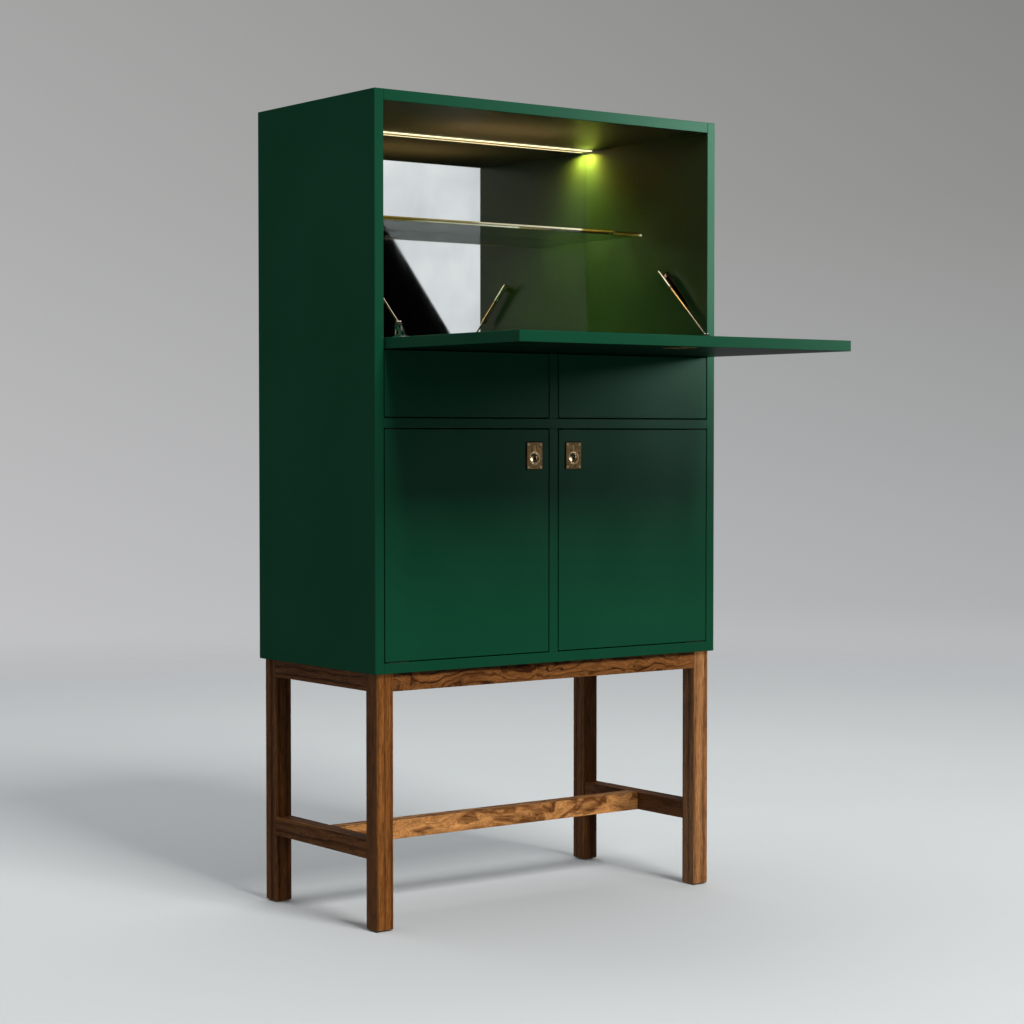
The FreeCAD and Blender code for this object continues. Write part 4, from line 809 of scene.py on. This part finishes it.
BOWL_RADIUS, BOWL_DEPTH = 0.0100, 0.0070
BOWL_BELOW_MIDDLE = 0.004
WELL_DEPTH, WELL_BELOW_FACE = 0.002, 0.0005
DISH_SIDES, DISH_STEPS = 48, 12
PLATE_SCREWS = [(x, y) for x in (-0.0144, 0.0144) for y in (-0.0211, 0.0211)]


def dish(name, mouth, inward, body):
    """The polished inside of a finger bowl: a spun dish that fills the bored bowl round its hollow."""
    mesh = bmesh.new()
    rim = BOWL_RADIUS - 0.00004
    deep = BOWL_DEPTH - 0.0004
    outline = [(rim, BOWL_DEPTH - 0.00005), (rim, 0.0), (rim - 0.0002, -0.00025), (rim - 0.0006, -0.00030)]
    for step in range(1, DISH_STEPS):
        turn = step / DISH_STEPS * math.pi / 2
        outline.append(((rim - 0.0008) * math.cos(turn), deep * math.sin(turn) ** 0.85))
    turns = [index * math.tau / DISH_SIDES for index in range(DISH_SIDES)]
    circles = [[mesh.verts.new((radius * math.cos(turn), radius * math.sin(turn), -depth)) for turn in turns]
               for radius, depth in outline]
    bottom = mesh.verts.new((0, 0, -deep))
    for first, second in zip(circles, circles[1:]):
        for index in range(DISH_SIDES):
            after = (index + 1) % DISH_SIDES
            mesh.faces.new((first[index], first[after], second[after], second[index]))
    for index in range(DISH_SIDES):
        mesh.faces.new((circles[-1][index], circles[-1][(index + 1) % DISH_SIDES], bottom))
    backing = mesh.faces.new(circles[0][::-1])
    facing = (-Vector(inward)).to_track_quat("Z", "Y").to_matrix().to_4x4()
    mesh.transform(Matrix.Translation(mouth) @ facing)
    bmesh.ops.recalc_face_normals(mesh, faces=mesh.faces)
    for face in mesh.faces:
        face.smooth = face is not backing
    return finish_piece(name, mesh, body, dish_brass)


shown_brass, shown_dishes = [], []
for body, inward, up in (("door_left", (0, 1, 0), (0, 0, 1)), ("door_right", (0, 1, 0), (0, 0, 1)),
                         ("flap", (0, 0, 1), (0, -1, 0))):
    name = body + "_pull"
    finish_nodes(pull_brass, name + "_plate")
    finish_nodes(ring_brass, name + "_ring")
    plate_low, plate_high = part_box(name + "_plate")
    deep, up = Vector(inward), Vector(up)
    front = plate_low.dot(deep)
    centre = Vector(((plate_low.x + plate_high.x) / 2, 0, 0))
    if body == "flap":
        centre += Vector((0, (plate_low.y + plate_high.y) / 2, front))
    else:
        centre += Vector((0, front, (plate_low.z + plate_high.z) / 2))
    bowl = dish(name + "_dish", centre - BOWL_BELOW_MIDDLE * up + deep * (WELL_DEPTH + WELL_BELOW_FACE),
                inward, body)
    screws = slotted_heads(name + "_screws", [
        (centre + Vector((x, 0, 0)) + y * up, -deep, 0.0027, 0.0003) for x, y in PLATE_SCREWS
    ], body, screw_brass)
    shown_brass += [bowl, screws, *nodes(name + "_plate", name + "_ring")]
    shown_dishes.append(bowl)

lamp("brass_card", place=(1.80, -2.40, 0.95), aim=(0.0, 0.0, 0.85), size=(2.0, 2.0), watts=4.4,
     colour=(1.0, 0.86, 0.72), gloss_only=True, lights=shown_brass)
lamp("dish_card", place=(1.50, -1.10, 1.60), aim=(0.0, 0.0, 0.85), size=(1.2, 1.2), watts=30.5,
     colour=(1.0, 0.83, 0.62), gloss_only=True, lights=shown_dishes, shades=shown_dishes)


# ---------------------------------------------------------------- the flap stays
# Telescopic stays of brass: a rod whose eye turns in a bracket on the flap, and a two part tube that slides
# along it, with a side link whose boss turns on a stud in the side panel.

rod_brass = metalwork("rod_brass", (0.86, 0.68, 0.58), (0.60, 0.44, 0.36), age=0.30, smoothest=0.20,
                      roughest=0.30, mottle=80.0, bump=0.04, tarnish=1.0)
bracket_nickel = metalwork("bracket_nickel", (0.97, 0.96, 0.92), (0.72, 0.68, 0.60), age=0.35, smoothest=0.16,
                           roughest=0.28, mottle=80.0, bump=0.04, tarnish=1.0)

# the tube is one turned piece, coloured with painted light: its cream upper barrel and gold lower barrel are
# painted reflections of the strip's warm light, its neck is painted shade, and the link beside it is painted
# dark for the dark room it mirrors, with painted highlights on its edges; places along it are measured from
# the rod's eye, as they are with the flap open
EYE_Y, EYE_Z, ROD_TILT = -0.01765, 1.0863, math.radians(42.87)
NECK_START, NECK_END = 0.1373, 0.1408
UPPER_START = (0.1405, 0.1411)
LINK_NEAR, LINK_FAR = (0.3658, 0.3662), (0.3692, 0.3688)
GOLD_REFLECTION, CREAM_REFLECTION, NECK_SHADE = (0.95, 0.56, 0.24), (1.0, 0.90, 0.72), (0.015, 0.010, 0.008)
LINK_DARK_REFLECTION, LINK_EDGE_HIGHLIGHT = (0.020, 0.014, 0.010), (0.90, 0.88, 0.84)

material, tree = new_material("stay_tube")
place = object_place(tree)
skin = place_effect(tree, metal, {"Vector": place, "Bright": (1, 1, 1, 1), "Patina": (0.70, 0.62, 0.52, 1),
                                  "Age": 0.25, "Mottle scale": 60.0, "Smoothest": 0.20, "Roughest": 0.28,
                                  "Tarnished": 1.0})
parts = split(tree, place)
behind_eye = maths(tree, "MULTIPLY", maths(tree, "SUBTRACT", parts["Y"], EYE_Y), math.cos(ROD_TILT))
above_eye = maths(tree, "MULTIPLY", maths(tree, "SUBTRACT", parts["Z"], EYE_Z), math.sin(ROD_TILT))
along = maths(tree, "ADD", behind_eye, above_eye)
out = maths(tree, "ABSOLUTE", parts["X"])
# painted light: cream and gold reflections on the barrels, painted shade at the neck, and a painted dark
# reflection with edge highlights on the link
barrel = mix(tree, spread(tree, along, *UPPER_START), GOLD_REFLECTION, CREAM_REFLECTION)
barrel = mix(tree, within(tree, along, NECK_START, NECK_END), barrel, NECK_SHADE)
link = maths(tree, "MULTIPLY", spread(tree, out, *LINK_NEAR), spread(tree, out, *LINK_FAR))
facing = split(tree, add(tree, "NewGeometry").outputs["True Normal"])["X"]
edges = spread(tree, maths(tree, "ABSOLUTE", facing), 0.7, 0.4)
shade = mix(tree, link, barrel, mix(tree, edges, LINK_DARK_REFLECTION, LINK_EDGE_HIGHLIGHT))
finish_surface(tree, {"Base Color": mix(tree, 1.0, skin["Color"], shade, "MULTIPLY"), "Metallic": 1.0,
                      "Roughness": skin["Roughness"]}, skin["Height"], bump=0.04, relief=0.00004)
finish_nodes(material, "stay_left_tube", "stay_right_tube")
finish_nodes(rod_brass, "stay_left_rod", "stay_right_rod")
finish_nodes(bracket_nickel, "stay_flap_brackets", "stay_wall_brackets")

lamp("stay_card", place=(-2.3, -4.6, 1.9), aim=(0.0, 0.0, 1.15), size=(1.3, 1.3), watts=22,
     colour=(1.0, 0.96, 0.90), gloss_only=True, lights=stay_pieces)
lamp("stay_glint", place=(0.0, 0.12, 1.465), aim=(0.0, 0.05, 1.0), size=(0.34, 0.12), watts=0.42,
     colour=(1.0, 0.95, 0.86), gloss_only=True, lights=stay_pieces)
lamp("foot_card", place=(1.65, -1.60, 1.25), aim=(0.0, 0.0, 1.1), size=(0.9, 0.9), watts=9.0,
     gloss_only=True, lights=nodes("stay_flap_brackets"))

BRACKET_X, BRACKET_FOOT_TOP = 0.361, 1.0635
bracket_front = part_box("stay_flap_brackets")[0].y
slotted_heads("stay_bracket_screws", [
    (Vector((side * BRACKET_X + across, bracket_front + along, BRACKET_FOOT_TOP)), (0, 0, 1), 0.0021, 0.0004)
    for side in (-1, 1) for across in (-0.0069, 0.0069) for along in (0.0035, 0.0215)
], "flap", bracket_nickel)


# ---------------------------------------------------------------- the doors and their fittings
# Two lacquered doors, let in flush. Each swings on brass knife hinges at its top and bottom, and a magnetic
# catch of dark plastic under the panel above holds it by a steel strike.

finish_nodes(hinge_brass, "door_left_hinge_leaves", "door_right_hinge_leaves", "door_hinge_case_leaves")
finish_nodes(zinc, "door_left_strike", "door_right_strike")
finish_nodes(moulded("catch_plastic", colour=(0.040, 0.034, 0.030), dust=0.12), "door_catches")

STRIKE_SCREW_IN = 0.006
for body in ("door_left", "door_right"):
    strike_low, strike_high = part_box(body + "_strike")
    slotted_heads(body + "_strike_screws", [
        (Vector((x, strike_high.y, (strike_low.z + strike_high.z) / 2)), (0, 1, 0), 0.0019, 0.00012)
        for x in (strike_low.x + STRIKE_SCREW_IN, strike_high.x - STRIKE_SCREW_IN)
    ], body, zinc)


# ---------------------------------------------------------------- the drawers and their runners
# Lacquered fronts on boxes of birch, with the bottoms in grooves. Each box slides on two zinc plated steel
# rails, nested in channels that are screwed to the case.

material, tree = new_material("drawer_birch")
turned = add(tree, "Mapping", {"Vector": object_place(tree), "Rotation": GRAIN_ALONG["y"]}).outputs[0]
grain = place_effect(tree, wood, {"Vector": turned, "Light wood": (0.62, 0.45, 0.28, 1),
                                  "Dark wood": (0.46, 0.31, 0.17, 1), "Pith": (0.0, 0.2, 0.3),
                                  "Rings": 90.0, "Figure": 0.02, "Pores": 0.12})
finish_surface(tree, {"Base Color": grain["Color"], "Roughness": grain["Roughness"], "Coat Weight": 0.15,
                      "Coat Roughness": 0.35}, grain["Height"], bump=0.15, relief=0.0001)
finish_nodes(material, "drawer_left_box", "drawer_right_box")
finish_nodes(metalwork("runner_zinc", (0.60, 0.61, 0.62), (0.44, 0.45, 0.45), age=0.5, smoothest=0.20,
                       roughest=0.40, brushing=(1.0, 0.03, 1.0)),
             "drawer_left_rails", "drawer_right_rails", "drawer_runner_channels")
